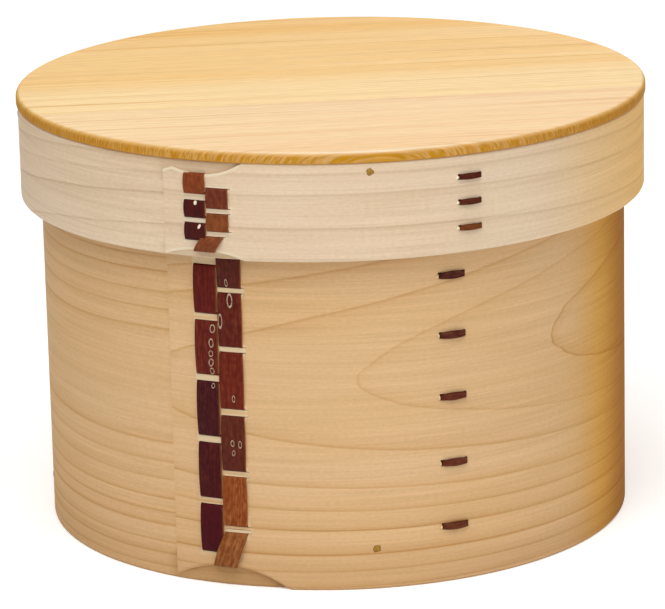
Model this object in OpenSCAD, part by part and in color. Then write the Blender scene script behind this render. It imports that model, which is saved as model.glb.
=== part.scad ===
// Bentwood rice container: a lapped and laced hoop with a let-in bottom, and a lid that drops over its rim.
// Angles run from the front (-Y) towards +X. Places along a wall are lengths round its outer face.

/* [Body] */
// Outer diameter of the bent hoop
body_d = 195.6; // [160:0.2:280]
// Height of the hoop, from the table to the rim
body_h = 136.7; // [110:0.1:200]
// Thickness of the hoop's wall
body_wall = 5; // [3.5:0.1:7]

/* [Bottom] */
// Thickness of the bottom boards
bottom_t = 8; // [6:0.1:12]
// Height of the bottom boards above the table
bottom_lift = 9.6; // [6:0.1:14]
// How far the bottom's edge joint lies behind the centre
bottom_joint_at = 24; // [-50:1:50]

/* [Lid] */
// Gap between the hoop and the lid's band
lid_clear = 2.3; // [1.8:0.1:4]
// Height of the lid's band
band_h = 31.5; // [28:0.1:50]
// Thickness of the lid's band
band_wall = 4.4; // [3.5:0.1:6]
// How far the lid plate stands out past its band
lid_overhang = 0.5; // [0:0.1:3]
// Thickness of the lid plate's visible lip
lip_t = 3.8; // [3:0.1:8]
// Rounding of the lip's upper edge
lip_round = 1.7; // [0.5:0.1:2.5]
// Depth of the lid plate's tongue inside the band
tongue_t = 5.5; // [4:0.1:7]
// How far the lid's edge joint lies behind the centre
lid_joint_at = -32; // [-50:1:50]
// Turn of the lid's grain from left to right, in degrees
grain_turn = 6.6; // [-20:0.2:20]

/* [Lap] */
// Distance from the front to the outer end of a lap, to the left
lap_left = 56; // [50:0.5:70]
// Length of a lap from its outer to its inner end
lap_len = 108; // [104:0.5:130]
// Thickness left at the thin end of a lap
lap_tip_t = 0.5; // [0.3:0.1:1]
// Width of the line between the two lapped layers
lap_gap = 0.2; // [0.1:0.05:0.4]

/* [Bark] */
// Thickness of the bark
bark_t = 0.8; // [0.5:0.05:1]
// Gap between the two rows of a lacing
row_gap = 0.4; // [0.2:0.1:1]
// How far the last stitch of a lacing leans towards the left row
closing_lean = 4; // [2:0.1:5]
// Loose length of a narrow strap inside the wall at its two ends
tail_len = 5; // [4:0.5:6]

/* [Body lacing] */
// Distance from the lap's outer end to the middle of the body's lacing
body_lace_in = 17.7; // [12:0.1:24]
// Width of the body's strap
body_strap_w = 7.8; // [6:0.1:9]
// Wished length of one body stitch with its bridge
body_stitch = 20; // [14:0.5:30]
// Height of the wood bridge between two stitches of a row
body_bridge = 2; // [1.2:0.1:3]
// Height of the lowest left slit above the scoop
body_first_slit = 3.7; // [2:0.1:6]
// Distance from the lap's outer end to the middle of the body's scoops
body_scoop_in = 18.5; // [12:0.1:24]
// Radius of the scoops cut in the outer layer's edges
body_scoop_r = 32; // [25:0.5:45]
// Height of the scoop at the foot
body_scoop_low = 7.4; // [4:0.1:10]
// Depth of the scoop at the rim
body_scoop_high = 8.4; // [4:0.1:12]

/* [Lid lacing] */
// Distance from the lap's outer end to the middle of the lid's lacing
lid_lace_in = 15.1; // [11:0.1:20]
// Width of the lid's strap
lid_strap_w = 7.3; // [6:0.1:9]
// Wished length of one lid stitch with its bridge
lid_stitch = 7.5; // [6:0.1:10]
// Height of the wood bridge between two stitches of a row
lid_bridge = 1.7; // [1.2:0.1:2]
// Height of the lowest left slit above the scoop
lid_first_slit = 2.6; // [2:0.1:4]
// Distance from the lap's outer end to the middle of the lid's scoops
lid_scoop_in = 13.1; // [10:0.1:18]
// Radius of the scoop under the lid plate
lid_scoop_high_r = 23; // [18:0.5:32]
// Depth of the scoop under the lid plate
lid_scoop_high = 4.9; // [3:0.1:6]
// Radius of the scoop at the band's lower edge
lid_scoop_low_r = 32; // [25:0.5:45]
// Height of the scoop at the band's lower edge
lid_scoop_low = 3.2; // [2:0.1:5]

/* [Tacking] */
// Distance from the lap's inner end to the middle of the body's tacks
body_tack_in = 14.1; // [8:0.1:18]
// Length of a body tack
body_tack_len = 8.7; // [7:0.1:10]
// Width of the body's narrow strap
body_tack_w = 2.4; // [1.8:0.1:3]
// Wished distance between two body tacks
body_tack_step = 21; // [15:0.5:30]
// Distance from the rim down to the highest body tack
body_tack_top = 13.6; // [8:0.1:20]
// Distance from the lap's inner end to the middle of the lid's tacks
lid_tack_in = 7.8; // [6:0.1:12]
// Length of a lid tack
lid_tack_len = 7.7; // [7:0.1:9]
// Width of the lid's narrow strap
lid_tack_w = 2.2; // [1.8:0.1:2.6]
// Wished distance between two lid tacks
lid_tack_step = 8.2; // [6:0.1:12]
// Distance from the band's lower edge up to the lowest lid tack
lid_tack_low = 8.2; // [6:0.1:10]
// Distance from a plate's face to the nearest tack's edge
tack_plate_gap = 0.3; // [0.2:0.1:1]

/* [Pegs and dowels] */
// Diameter of a peg
peg_d = 2.6; // [2:0.1:3.5]
// Length of a peg
peg_len = 18; // [12:0.5:25]
// Number of pegs round a plate
peg_count = 4; // [3:1:4]
// Distance from the front to the first peg, to the right
peg_at = 11.5; // [5:0.5:20]
// Diameter of a dowel in an edge joint
dowel_d = 3; // [2:0.1:4]
// Length of a dowel
dowel_len = 24; // [16:1:40]
// Distance between the two dowels of a joint
dowel_step = 90; // [60:1:110]

/* [Fits] */
// Gap between a plate and the wall round it
plate_fit = 0.05; // [0.02:0.01:0.1]
// Gap between bark and wood
bark_fit = 0.06; // [0.04:0.01:0.1]
// Gap round a peg or a dowel
peg_fit = 0.03; // [0.02:0.01:0.06]
// Width of a glue line in an edge joint
glue_line = 0.04; // [0.02:0.01:0.1]

/* [Hidden] */

$fn = 180;
// How far a cut runs past the face that it opens
past = 2;
// How far the hidden legs of a strap stay inside its edges
leg_inset = 0.1;
// How far the open ends of a lap's line bite into the thin ends
lap_bite = 0.04;
// Reach of the wedge that holds a lap, as a multiple of the wall's radius
wedge_reach = 1.4;

body_wood = "#D9B384";
band_wood = "#E0C6A2";
lid_wood = "#F2CB8E";
peg_wood = "#A98A4A";
bark_dark = "#5A2A22";
bark_thin = "#4A211C";

// A wall is held as outer radius, thickness, lower edge and height
hoop = [body_d / 2, body_wall, 0, body_h];
band_r = body_d / 2 + lid_clear + band_wall;
band = [band_r, band_wall, body_h + tongue_t - band_h, band_h];
function outer(wall) = wall[0];
function inner(wall) = wall[0] - wall[1];
function low(wall) = wall[2];
function high(wall) = wall[2] + wall[3];
function turn(wall, along) = along / outer(wall) * 180 / PI;

bottom_r = inner(hoop) - plate_fit;
lid_r = band_r + lid_overhang;
tongue_r = inner(band) - plate_fit;
lid_under = body_h;
lid_top = high(band) + lip_t;

// The scarf between the two layers of a lap lies on a circle set a little off the wall's own centre
function lap_from(wall) = -turn(wall, lap_left);
function lap_to(wall) = turn(wall, lap_len - lap_left);
function polar(r, angle) = [r * sin(angle), -r * cos(angle)];
function scarf_r(wall) = outer(wall) - wall[1] / 2;
function scarf_centre(wall) =
    let (start = polar(outer(wall) - lap_tip_t, lap_from(wall)))
    let (end = polar(inner(wall) + lap_tip_t, lap_to(wall)))
    let (chord = end - start)
    let (inward = [-chord[1], chord[0]] / norm(chord))
    (start + end) / 2 + inward * sqrt(pow(scarf_r(wall), 2) - pow(norm(chord) / 2, 2));
// Distance from the axis to the scarf in one direction
function scarf_at(wall, angle) =
    let (centre = scarf_centre(wall))
    let (along = centre * polar(1, angle))
    along + sqrt(along * along - centre * centre + pow(scarf_r(wall), 2));

// A lacing is held as wall, angle, strap width, stitches in a row, stitch length, lowest slit, bridge and
// lower hook
function lacing(wall, in, w, wish, bridge, first, scoop_low, scoop_high) =
    let (span = wall[3] - scoop_low - scoop_high - first + bark_t + bridge)
    let (count = max(2, round(span / wish)))
    let (hook = low(wall) + scoop_low)
    [wall, turn(wall, in - lap_left), w, count, span / count, hook + first, bridge, hook];
body_lace = lacing(
    hoop, body_lace_in, body_strap_w, body_stitch, body_bridge, body_first_slit,
    body_scoop_low, body_scoop_high
);
lid_lace = lacing(
    band, lid_lace_in, lid_strap_w, lid_stitch, lid_bridge, lid_first_slit,
    lid_scoop_low, lid_scoop_high
);
function stitches(lace) = lace[3];
function left_low(lace, i) = lace[5] + i * lace[4];
function left_high(lace, i) = left_low(lace, i) + lace[4] - lace[6];
function right_low(lace, i) = i == 0 ? lace[7] - bark_t : left_low(lace, i) - lace[4] / 2;
function right_high(lace, i) = left_low(lace, i) + lace[4] / 2 - lace[6];
// The two rows' spans across the wall, and the last stitch's lower end between them
function left_row(lace) = [-row_gap / 2 - lace[2], -row_gap / 2];
function right_row(lace) = [row_gap / 2, row_gap / 2 + lace[2]];
function closing_row(lace) = right_row(lace) - [closing_lean, closing_lean];

// A leg is held as its span across the wall and its span in height
function leg_up(row, z) = [row[0], row[1], z, z + bark_t];
function leg_down(row, z) = leg_up(row, z - bark_t);
function lace_legs(lace) = [
    for (i = [0:stitches(lace) - 1]) leg_up(left_row(lace), left_low(lace, i)),
    for (i = [0:stitches(lace) - 2]) leg_down(left_row(lace), left_high(lace, i)),
    for (i = [1:stitches(lace) - 1]) leg_up(right_row(lace), right_low(lace, i)),
    for (i = [0:stitches(lace) - 1]) leg_down(right_row(lace), right_high(lace, i))
];
// The strap's two ends hook over the outer layer's scooped edges
function top_hook(lace) = leg_down(left_row(lace), left_high(lace, stitches(lace) - 1));
function bottom_hook(lace) = leg_up(closing_row(lace), right_low(lace, 0));

// A row of tacks is held as wall, angle, tack length, strap width, lowest tack, count and step
function tacking(wall, in, len, w, z_low, z_high, wish) =
    let (count = max(2, round((z_high - z_low) / wish) + 1))
    [wall, turn(wall, lap_len - lap_left - in), len, w, z_low, count, (z_high - z_low) / (count - 1)];
body_tacks = tacking(
    hoop, body_tack_in, body_tack_len, body_tack_w,
    bottom_lift + bottom_t + tack_plate_gap + body_tack_w / 2, body_h - body_tack_top, body_tack_step
);
lid_tacks = tacking(
    band, lid_tack_in, lid_tack_len, lid_tack_w,
    low(band) + lid_tack_low, lid_under - tack_plate_gap - lid_tack_w / 2, lid_tack_step
);
function tack_z(tacks, i) = tacks[4] + i * tacks[6];
function tack_legs(tacks) = [
    for (i = [0:tacks[5] - 1])
        for (x = [-tacks[2] / 2, tacks[2] / 2 - bark_t])
            [x, x + bark_t, tack_z(tacks, i) - tacks[3] / 2, tack_z(tacks, i) + tacks[3] / 2]
];

// Depths at which a flat-ended leg lies inside the curved runs on both faces of a wall
function leg_out(wall, reach) =
    let (r = outer(wall) + bark_fit)
    (r + sqrt(pow(r + bark_t, 2) - reach * reach)) / 2;
function leg_in(wall, reach) =
    let (r = inner(wall) - bark_fit)
    (r - bark_t + sqrt(r * r - reach * reach)) / 2;

function across(legs) = max([for (leg = legs) max(abs(leg[0]), abs(leg[1]))]);

// A straight tube standing on a height
module tube(r, wall, z, h) {
    translate([0, 0, z]) difference() {
        cylinder(r = r, h = h);
        translate([0, 0, -past]) cylinder(r = r - wall, h = h + 2 * past);
    }
}

// A flat outline, across by height, swept from the axis out through the wall at an angle
module through(angle, reach) {
    rotate([0, 0, angle]) rotate([90, 0, 0]) linear_extrude(height = reach) children();
}

// A box outline from a leg, grown all round
module leg_outline(leg, grow) {
    size = [leg[1] - leg[0], leg[3] - leg[2]];
    translate([leg[0] - grow, leg[2] - grow]) square(size + [2 * grow, 2 * grow]);
}

// The wedge of space that holds a lap
module lap_wedge(wall) {
    far = wedge_reach * outer(wall);
    corners = [[0, 0], polar(far, lap_from(wall)), polar(far, 0), polar(far, lap_to(wall))];
    translate([0, 0, low(wall) - past]) linear_extrude(height = wall[3] + 2 * past) polygon(corners);
}

// The space inside the scarf's circle
module scarf_core(wall, grow) {
    centre = scarf_centre(wall);
    translate([centre[0], centre[1], low(wall) - 2 * past])
        cylinder(r = scarf_r(wall) + grow, h = wall[3] + 4 * past);
}

// The line between the two layers, open to the outside at one end and to the inside at the other
module lap_slot(wall) {
    end_size = [lap_gap + lap_bite, past + lap_tip_t + lap_gap / 2, wall[3] + 2 * past];
    intersection() {
        difference() {
            scarf_core(wall, lap_gap / 2);
            scarf_core(wall, -lap_gap / 2);
        }
        lap_wedge(wall);
    }
    rotate([0, 0, lap_from(wall)])
        translate([-lap_gap, -outer(wall) - past, low(wall) - past]) cube(end_size);
    rotate([0, 0, lap_to(wall)])
        translate([-lap_bite, -inner(wall) - lap_tip_t - lap_gap / 2, low(wall) - past]) cube(end_size);
}

// Keeps only what lies in the outer layer of a lap
module in_outer_layer(wall) {
    difference() {
        intersection() {
            children();
            lap_wedge(wall);
        }
        scarf_core(wall, lap_gap / 2);
    }
}

// A round scoop in an edge, centred below or above it
module scoop(wall, in, r, z) {
    in_outer_layer(wall)
        through(turn(wall, in - lap_left), outer(wall) + past) translate([0, z]) circle(r = r);
}

// The slits that a strap dives through, and the two seats where its ends hook over the outer layer
module lace_slits(lace) {
    wall = lace[0];
    for (leg = lace_legs(lace))
        through(lace[1], outer(wall) + past) leg_outline(leg, bark_fit);
    for (hook = [top_hook(lace), bottom_hook(lace)])
        in_outer_layer(wall) through(lace[1], outer(wall) + past) leg_outline(hook, bark_fit);
}

module tack_slits(tacks) {
    for (leg = tack_legs(tacks))
        through(tacks[1], outer(tacks[0]) + past) leg_outline(leg, bark_fit);
}

// Round holes for pegs, from outside a wall to a radius, at one height
module peg_holes(wall, z, to_r) {
    for (i = [0:peg_count - 1])
        rotate([0, 0, turn(wall, peg_at) + i * 360 / peg_count])
            translate([0, -to_r, z]) rotate([90, 0, 0])
            cylinder(d = peg_d + 2 * peg_fit, h = outer(wall) + past - to_r);
}

module pegs(wall, z) {
    for (i = [0:peg_count - 1])
        rotate([0, 0, turn(wall, peg_at) + i * 360 / peg_count])
            translate([0, -outer(wall) + peg_len, z]) rotate([90, 0, 0]) cylinder(d = peg_d, h = peg_len);
}

// The run of a strap on the outside or the inside of a wall, cut to an outline across by height
module run_outside(wall, angle, outline, lift = 0) {
    intersection() {
        tube(outer(wall) + bark_fit + lift + bark_t, bark_t, low(wall) - past, wall[3] + 2 * past);
        through(angle, outer(wall) + 2 * past) polygon(outline);
    }
}

module run_inside(wall, angle, outline) {
    intersection() {
        tube(inner(wall) - bark_fit, bark_t, low(wall) - past, wall[3] + 2 * past);
        through(angle, outer(wall)) polygon(outline);
    }
}

// A flat-ended leg between two depths
module leg_box(angle, leg, from_r, to_r) {
    rotate([0, 0, angle])
        translate([leg[0] + leg_inset, -to_r, leg[2] + leg_inset])
        cube([leg[1] - leg[0] - 2 * leg_inset, to_r - from_r, leg[3] - leg[2] - 2 * leg_inset]);
}

function box(row, z_low, z_high) = [[row[0], z_low], [row[1], z_low], [row[1], z_high], [row[0], z_high]];
// A slanted run that takes in a leg at its lower end and a leg at its upper end
function slant_right(from, to) = [
    [from[0], from[2]], [from[1], from[2]], [to[1], to[2]], [to[1], to[3]], [to[0], to[3]], [from[0], from[3]]
];
function slant_left(from, to) = [
    [from[0], from[2]], [from[1], from[2]], [from[1], from[3]], [to[1], to[3]], [to[0], to[3]], [to[0], to[2]]
];

// One unbroken strap: down the left row and the right row by turns, crossing over on the inside
module lace_strap(lace) {
    wall = lace[0];
    angle = lace[1];
    last = stitches(lace) - 1;
    reach = across(concat(lace_legs(lace), [top_hook(lace), bottom_hook(lace)]));
    over = bark_t + bark_fit;
    for (i = [0:last])
        run_outside(wall, angle, box(left_row(lace), left_low(lace, i), left_high(lace, i)));
    for (i = [1:last])
        run_outside(wall, angle, box(right_row(lace), right_low(lace, i), right_high(lace, i)));
    // The closing stitch leans over the left row's lowest stitch
    closing_top = leg_down(right_row(lace), right_high(lace, 0));
    run_outside(wall, angle, slant_right(bottom_hook(lace), closing_top), over);
    for (i = [0:last])
        run_inside(wall, angle, slant_right(
            leg_up(left_row(lace), left_low(lace, i)), leg_down(right_row(lace), right_high(lace, i))
        ));
    for (i = [1:last])
        run_inside(wall, angle, slant_left(
            leg_up(right_row(lace), right_low(lace, i)), leg_down(left_row(lace), left_high(lace, i - 1))
        ));
    for (leg = lace_legs(lace))
        leg_box(angle, leg, leg_in(wall, reach), leg_out(wall, reach));
    leg_box(angle, closing_top, leg_in(wall, reach), leg_out(wall, reach) + over);
    // The hooked ends stop at the inner layer
    hook_in = scarf_at(wall, angle - asin(reach / outer(wall))) + lap_gap / 2 + bark_fit;
    leg_box(angle, top_hook(lace), hook_in, leg_out(wall, reach));
    leg_box(angle, bottom_hook(lace), hook_in, leg_out(wall, reach) + over);
}

// One narrow strap: short dashes outside, long slanted runs inside
module tack_strap(tacks) {
    wall = tacks[0];
    angle = tacks[1];
    half = tacks[2] / 2;
    w = tacks[3];
    last = tacks[5] - 1;
    reach = across(tack_legs(tacks));
    for (i = [0:last])
        run_outside(wall, angle, box([-half, half], tack_z(tacks, i) - w / 2, tack_z(tacks, i) + w / 2));
    for (leg = tack_legs(tacks))
        leg_box(angle, leg, leg_in(wall, reach), leg_out(wall, reach));
    for (i = [0:last - 1])
        run_inside(wall, angle, slant_right(
            [-half, -half + w, tack_z(tacks, i) - w / 2, tack_z(tacks, i) + w / 2],
            [half - w, half, tack_z(tacks, i + 1) - w / 2, tack_z(tacks, i + 1) + w / 2]
        ));
    run_inside(wall, angle, box([half - tail_len, half], tack_z(tacks, 0) - w / 2, tack_z(tacks, 0) + w / 2));
    run_inside(wall, angle, box(
        [-half, tail_len - half], tack_z(tacks, last) - w / 2, tack_z(tacks, last) + w / 2
    ));
}

// Keeps the half of a plate that lies in front of its edge joint, or behind it
module half_plate(in_front, joint_at, turned) {
    size = 2 * lid_r;
    intersection() {
        children();
        rotate([0, 0, turned])
            translate([-size, joint_at + (in_front ? -glue_line / 2 - 2 * size : glue_line / 2), -past])
            cube([2 * size, 2 * size, lid_top + 2 * past]);
    }
}

module dowel_pair(joint_at, turned, z, grow) {
    rotate([0, 0, turned])
        for (side = [-1, 1])
            translate([side * dowel_step / 2, joint_at + dowel_len / 2 + grow, z])
                rotate([90, 0, 0]) cylinder(d = dowel_d + 2 * grow, h = dowel_len + 2 * grow);
}

// A flat across the bottom plate's rim that leaves room for the strap's inner runs
module lace_relief() {
    reach = right_row(body_lace)[1] + bark_fit;
    depth = sqrt(pow(inner(hoop) - bark_t - 3 * bark_fit, 2) - reach * reach);
    rotate([0, 0, body_lace[1]])
        translate([-reach, -depth - 2 * past - bark_t, bottom_lift - past])
        cube([2 * reach, 2 * past + bark_t, bottom_t + 2 * past]);
}

module body_hoop() {
    color(body_wood) difference() {
        tube(outer(hoop), body_wall, low(hoop), body_h);
        lap_slot(hoop);
        scoop(hoop, body_scoop_in, body_scoop_r, body_scoop_low - body_scoop_r);
        scoop(hoop, body_scoop_in, body_scoop_r, body_h - body_scoop_high + body_scoop_r);
        lace_slits(body_lace);
        tack_slits(body_tacks);
        peg_holes(hoop, bottom_lift + bottom_t / 2, inner(hoop) - past);
    }
}

module bottom_plate() {
    difference() {
        translate([0, 0, bottom_lift]) cylinder(r = bottom_r, h = bottom_t);
        lace_relief();
        peg_holes(hoop, bottom_lift + bottom_t / 2, outer(hoop) - peg_len - peg_fit);
        dowel_pair(bottom_joint_at, 0, bottom_lift + bottom_t / 2, peg_fit);
    }
}

module bottom_board_front() {
    color(body_wood) half_plate(true, bottom_joint_at, 0) bottom_plate();
}

module bottom_board_back() {
    color(body_wood) half_plate(false, bottom_joint_at, 0) bottom_plate();
}

module bottom_dowels() {
    color(peg_wood) dowel_pair(bottom_joint_at, 0, bottom_lift + bottom_t / 2, 0);
}

module bottom_pegs() {
    color(peg_wood) pegs(hoop, bottom_lift + bottom_t / 2);
}

module body_lacing() {
    color(bark_dark) lace_strap(body_lace);
}

module body_tacking() {
    color(bark_thin) tack_strap(body_tacks);
}

module lid_band() {
    color(band_wood) difference() {
        tube(outer(band), band_wall, low(band), band_h);
        lap_slot(band);
        scoop(band, lid_scoop_in, lid_scoop_low_r, low(band) + lid_scoop_low - lid_scoop_low_r);
        scoop(band, lid_scoop_in, lid_scoop_high_r, high(band) - lid_scoop_high + lid_scoop_high_r);
        lace_slits(lid_lace);
        tack_slits(lid_tacks);
        peg_holes(band, lid_under + tongue_t / 2, inner(band) - past);
    }
}

module lid_plate() {
    difference() {
        union() {
            translate([0, 0, lid_under]) cylinder(r = tongue_r, h = tongue_t + lip_t / 2);
            translate([0, 0, high(band)]) rotate_extrude() {
                square([lid_r - lip_round, lip_t]);
                square([lid_r, lip_t - lip_round]);
                translate([lid_r - lip_round, lip_t - lip_round]) circle(r = lip_round);
            }
        }
        peg_holes(band, lid_under + tongue_t / 2, outer(band) - peg_len - peg_fit);
        dowel_pair(lid_joint_at, grain_turn, lid_under + (tongue_t + lip_t) / 2, peg_fit);
    }
}

module lid_board_front() {
    color(lid_wood) half_plate(true, lid_joint_at, grain_turn) lid_plate();
}

module lid_board_back() {
    color(lid_wood) half_plate(false, lid_joint_at, grain_turn) lid_plate();
}

module lid_dowels() {
    color(peg_wood) dowel_pair(lid_joint_at, grain_turn, lid_under + (tongue_t + lip_t) / 2, 0);
}

module lid_pegs() {
    color(peg_wood) pegs(band, lid_under + tongue_t / 2);
}

module lid_lacing() {
    color(bark_dark) lace_strap(lid_lace);
}

module lid_tacking() {
    color(bark_thin) tack_strap(lid_tacks);
}

body_hoop();
bottom_board_front();
bottom_board_back();
bottom_dowels();
bottom_pegs();
body_lacing();
body_tacking();
lid_band();
lid_board_front();
lid_board_back();
lid_dowels();
lid_pegs();
lid_lacing();
lid_tacking();
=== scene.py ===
"""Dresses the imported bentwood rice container: bent walls, bark straps, plates, pegs, studio and camera.

Places on a wall are unrolled. Along is the length round its outer face from the front (-Y) towards +X, depth
runs inwards from that face, and height is above the table. Sizes are millimetres until a mesh is written.
"""

import logging
import math
from dataclasses import dataclass, field
from enum import Enum

import bmesh
import bpy
import numpy as np
from bpy.types import Material, Mesh, Node, NodeOutputs, NodeSocket, NodeTree, Object
from mathutils import Matrix, Vector


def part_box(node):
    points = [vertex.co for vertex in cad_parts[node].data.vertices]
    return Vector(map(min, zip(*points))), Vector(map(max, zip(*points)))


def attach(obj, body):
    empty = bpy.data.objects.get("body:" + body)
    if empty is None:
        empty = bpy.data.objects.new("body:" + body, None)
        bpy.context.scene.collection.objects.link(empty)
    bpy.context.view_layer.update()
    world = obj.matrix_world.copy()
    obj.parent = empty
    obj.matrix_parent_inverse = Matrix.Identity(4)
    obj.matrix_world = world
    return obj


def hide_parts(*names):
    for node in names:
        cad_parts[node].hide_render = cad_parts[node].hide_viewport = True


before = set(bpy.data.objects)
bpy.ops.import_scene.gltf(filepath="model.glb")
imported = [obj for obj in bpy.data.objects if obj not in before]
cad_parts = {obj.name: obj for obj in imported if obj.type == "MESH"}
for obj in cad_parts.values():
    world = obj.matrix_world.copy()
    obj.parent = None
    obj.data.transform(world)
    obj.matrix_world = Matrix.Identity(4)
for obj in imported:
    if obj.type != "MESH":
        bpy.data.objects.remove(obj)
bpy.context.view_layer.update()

LOG = logging.getLogger("rice_container")
MM = 0.001
WHITE = (1.0, 1.0, 1.0, 1.0)
# Edges that bend more than this stay crisp
CRISP_ANGLE = math.radians(38)
# Steps in which the edges of a strip turn over, in degrees
EDGE_ARC = (30, 60, 90)
# Setting of a Map Range node that eases in and out
SOFT_ENDS = {"interpolation_type": "SMOOTHSTEP"}


class Body(Enum):
    """The bodies of the frame that pieces ride on."""

    TUB = "tub"
    LID = "lid"


class Across(Enum):
    """How a strap's width lies on the wall, as a direction in the unrolled frame."""

    LEVEL = (1.0, 0.0, 0.0)
    UPRIGHT = (0.0, 0.0, 1.0)


class Mark(Enum):
    """Small raised marks that sit on bark or wood."""

    RING_SCAR = "ring_scar"
    CHIP = "chip"


class Side(Enum):
    """Which of a plate's two boards is meant."""

    FRONT = "front"
    BACK = "back"


def linear(code: str) -> tuple[float, float, float, float]:
    """Turns an sRGB hex colour such as "#D9B384" into linear red, green and blue, with an alpha of 1."""
    shares = [int(code[i : i + 2], 16) / 255 for i in (1, 3, 5)]
    return (*[s / 12.92 if s <= 0.04045 else ((s + 0.055) / 1.055) ** 2.4 for s in shares], 1.0)


def per_mm(*sizes: float) -> tuple[float, ...]:
    """Pattern scales, in cycles a metre, for features of these sizes in millimetres."""
    return tuple(1 / (size * MM) for size in sizes)


def ease(share: np.ndarray | float) -> np.ndarray | float:
    """A share that is kept between 0 and 1 and given soft ends."""
    share = np.clip(share, 0, 1)
    return share * share * (3 - 2 * share)


def add(tree: NodeTree, kind: str, feeds: list | dict = (), **settings: object) -> Node:
    """Adds a node with its settings and links.

    Args:
        tree: Tree that gets the node.
        kind: Blender's name of the node type.
        feeds: What goes into its inputs, in order or by name: a socket, a value, or a node, whose first
            output in use is meant.
        **settings: Properties of the node, which are set first.

    Returns:
        The new node.
    """
    node = tree.nodes.new(kind)
    for name, value in settings.items():
        setattr(node, name, value)
    sockets = [socket for socket in node.inputs if socket.enabled]
    if isinstance(feeds, dict):
        named = {socket.name: socket for socket in reversed(sockets)}
        sockets, feeds = [named[name] for name in feeds], feeds.values()
    for socket, value in zip(sockets, feeds):
        if isinstance(value, Node):
            value = next(output for output in value.outputs if output.enabled)
        if isinstance(value, NodeSocket):
            tree.links.new(value, socket)
        else:
            socket.default_value = value
    return node


def write_mesh(name: str, points: np.ndarray, faces: list[list[int]]) -> Mesh:
    """Writes a mesh in metres from points in millimetres.

    Args:
        name: Name of the mesh.
        points: Corners, one row each.
        faces: Corner numbers of each face, or of each edge if they are pairs.

    Returns:
        The new mesh.
    """
    mesh = bpy.data.meshes.new(name)
    edges = [face for face in faces if len(face) == 2]
    mesh.from_pydata((np.asarray(points) * MM).tolist(), edges, [face for face in faces if len(face) > 2])
    return mesh


def put(mesh: Mesh, name: str, values: np.ndarray) -> None:
    """Stores a number or a colour for each point of a mesh.

    Args:
        mesh: Mesh that gets the attribute.
        name: Name of the attribute.
        values: One value, or one row of four, for each point.
    """
    values = np.asarray(values, np.float32)
    kind, part = ("FLOAT_COLOR", "color") if values.ndim > 1 else ("FLOAT", "value")
    mesh.attributes.new(name, kind, "POINT").data.foreach_set(part, values.ravel())


def place(name: str, mesh: Mesh) -> Object:
    """Puts a closed mesh into the scene, at the origin, with its faces outwards.

    Args:
        name: Name of the piece.
        mesh: Its mesh.

    Returns:
        The new object.
    """
    work = bmesh.new()
    work.from_mesh(mesh)
    bmesh.ops.recalc_face_normals(work, faces=work.faces)
    work.to_mesh(mesh)
    work.free()
    mesh.name = name
    piece = bpy.data.objects.new(name, mesh)
    bpy.context.scene.collection.objects.link(piece)
    return piece


def grow(name: str, seed: Mesh, tree: NodeTree, inputs: dict[str, object]) -> Object:
    """Runs a geometry tree on a seed mesh and keeps the result as a plain mesh.

    Args:
        name: Name of the piece.
        seed: Mesh that the tree starts from.
        tree: Tree that makes the shape.
        inputs: Value of each named input of the tree.

    Returns:
        The finished piece.
    """
    holder = bpy.data.objects.new(name + "_seed", seed)
    bpy.context.scene.collection.objects.link(holder)
    modifier = holder.modifiers.new("shape", "NODES")
    modifier.node_group = tree
    sockets = {item.name: item.identifier for item in tree.interface.items_tree if item.in_out == "INPUT"}
    for label, value in inputs.items():
        modifier[sockets[label]] = value
    depsgraph = bpy.context.evaluated_depsgraph_get()
    made = holder.evaluated_get(depsgraph)
    mesh = bpy.data.meshes.new_from_object(made, preserve_all_data_layers=True, depsgraph=depsgraph)
    holder.modifiers.remove(modifier)
    bpy.data.objects.remove(holder)
    return place(name, mesh)


def fasten(piece: Object, body: Body, slot: str, *nodes: str) -> Object:
    """Ties a finished piece to the frame and reports it.

    Args:
        piece: Finished piece.
        body: Body that it rides on.
        slot: Material slot of the record, which is not used.
        *nodes: CAD nodes that it stands for.

    Returns:
        The same piece.
    """
    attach(piece, body.value)
    if nodes:
        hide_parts(*nodes)
    LOG.info("%s: %d faces on the %s", piece.name, len(piece.data.polygons), body.value)
    return piece


# Shape rules, as geometry trees


def new_tree(name: str, sockets: dict[str, str]) -> tuple[NodeTree, NodeOutputs]:
    """Starts a geometry tree.

    Args:
        name: Name of the tree.
        sockets: Kind of each named input after the geometry, such as "Float".

    Returns:
        The tree and the sockets that give its inputs.
    """
    tree = bpy.data.node_groups.new(name, "GeometryNodeTree")
    for label, kind in {"Geometry": "Geometry", **sockets}.items():
        tree.interface.new_socket(label, in_out="INPUT", socket_type="NodeSocket" + kind)
    tree.interface.new_socket("Geometry", in_out="OUTPUT", socket_type="NodeSocketGeometry")
    return tree, add(tree, "NodeGroupInput").outputs


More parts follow.
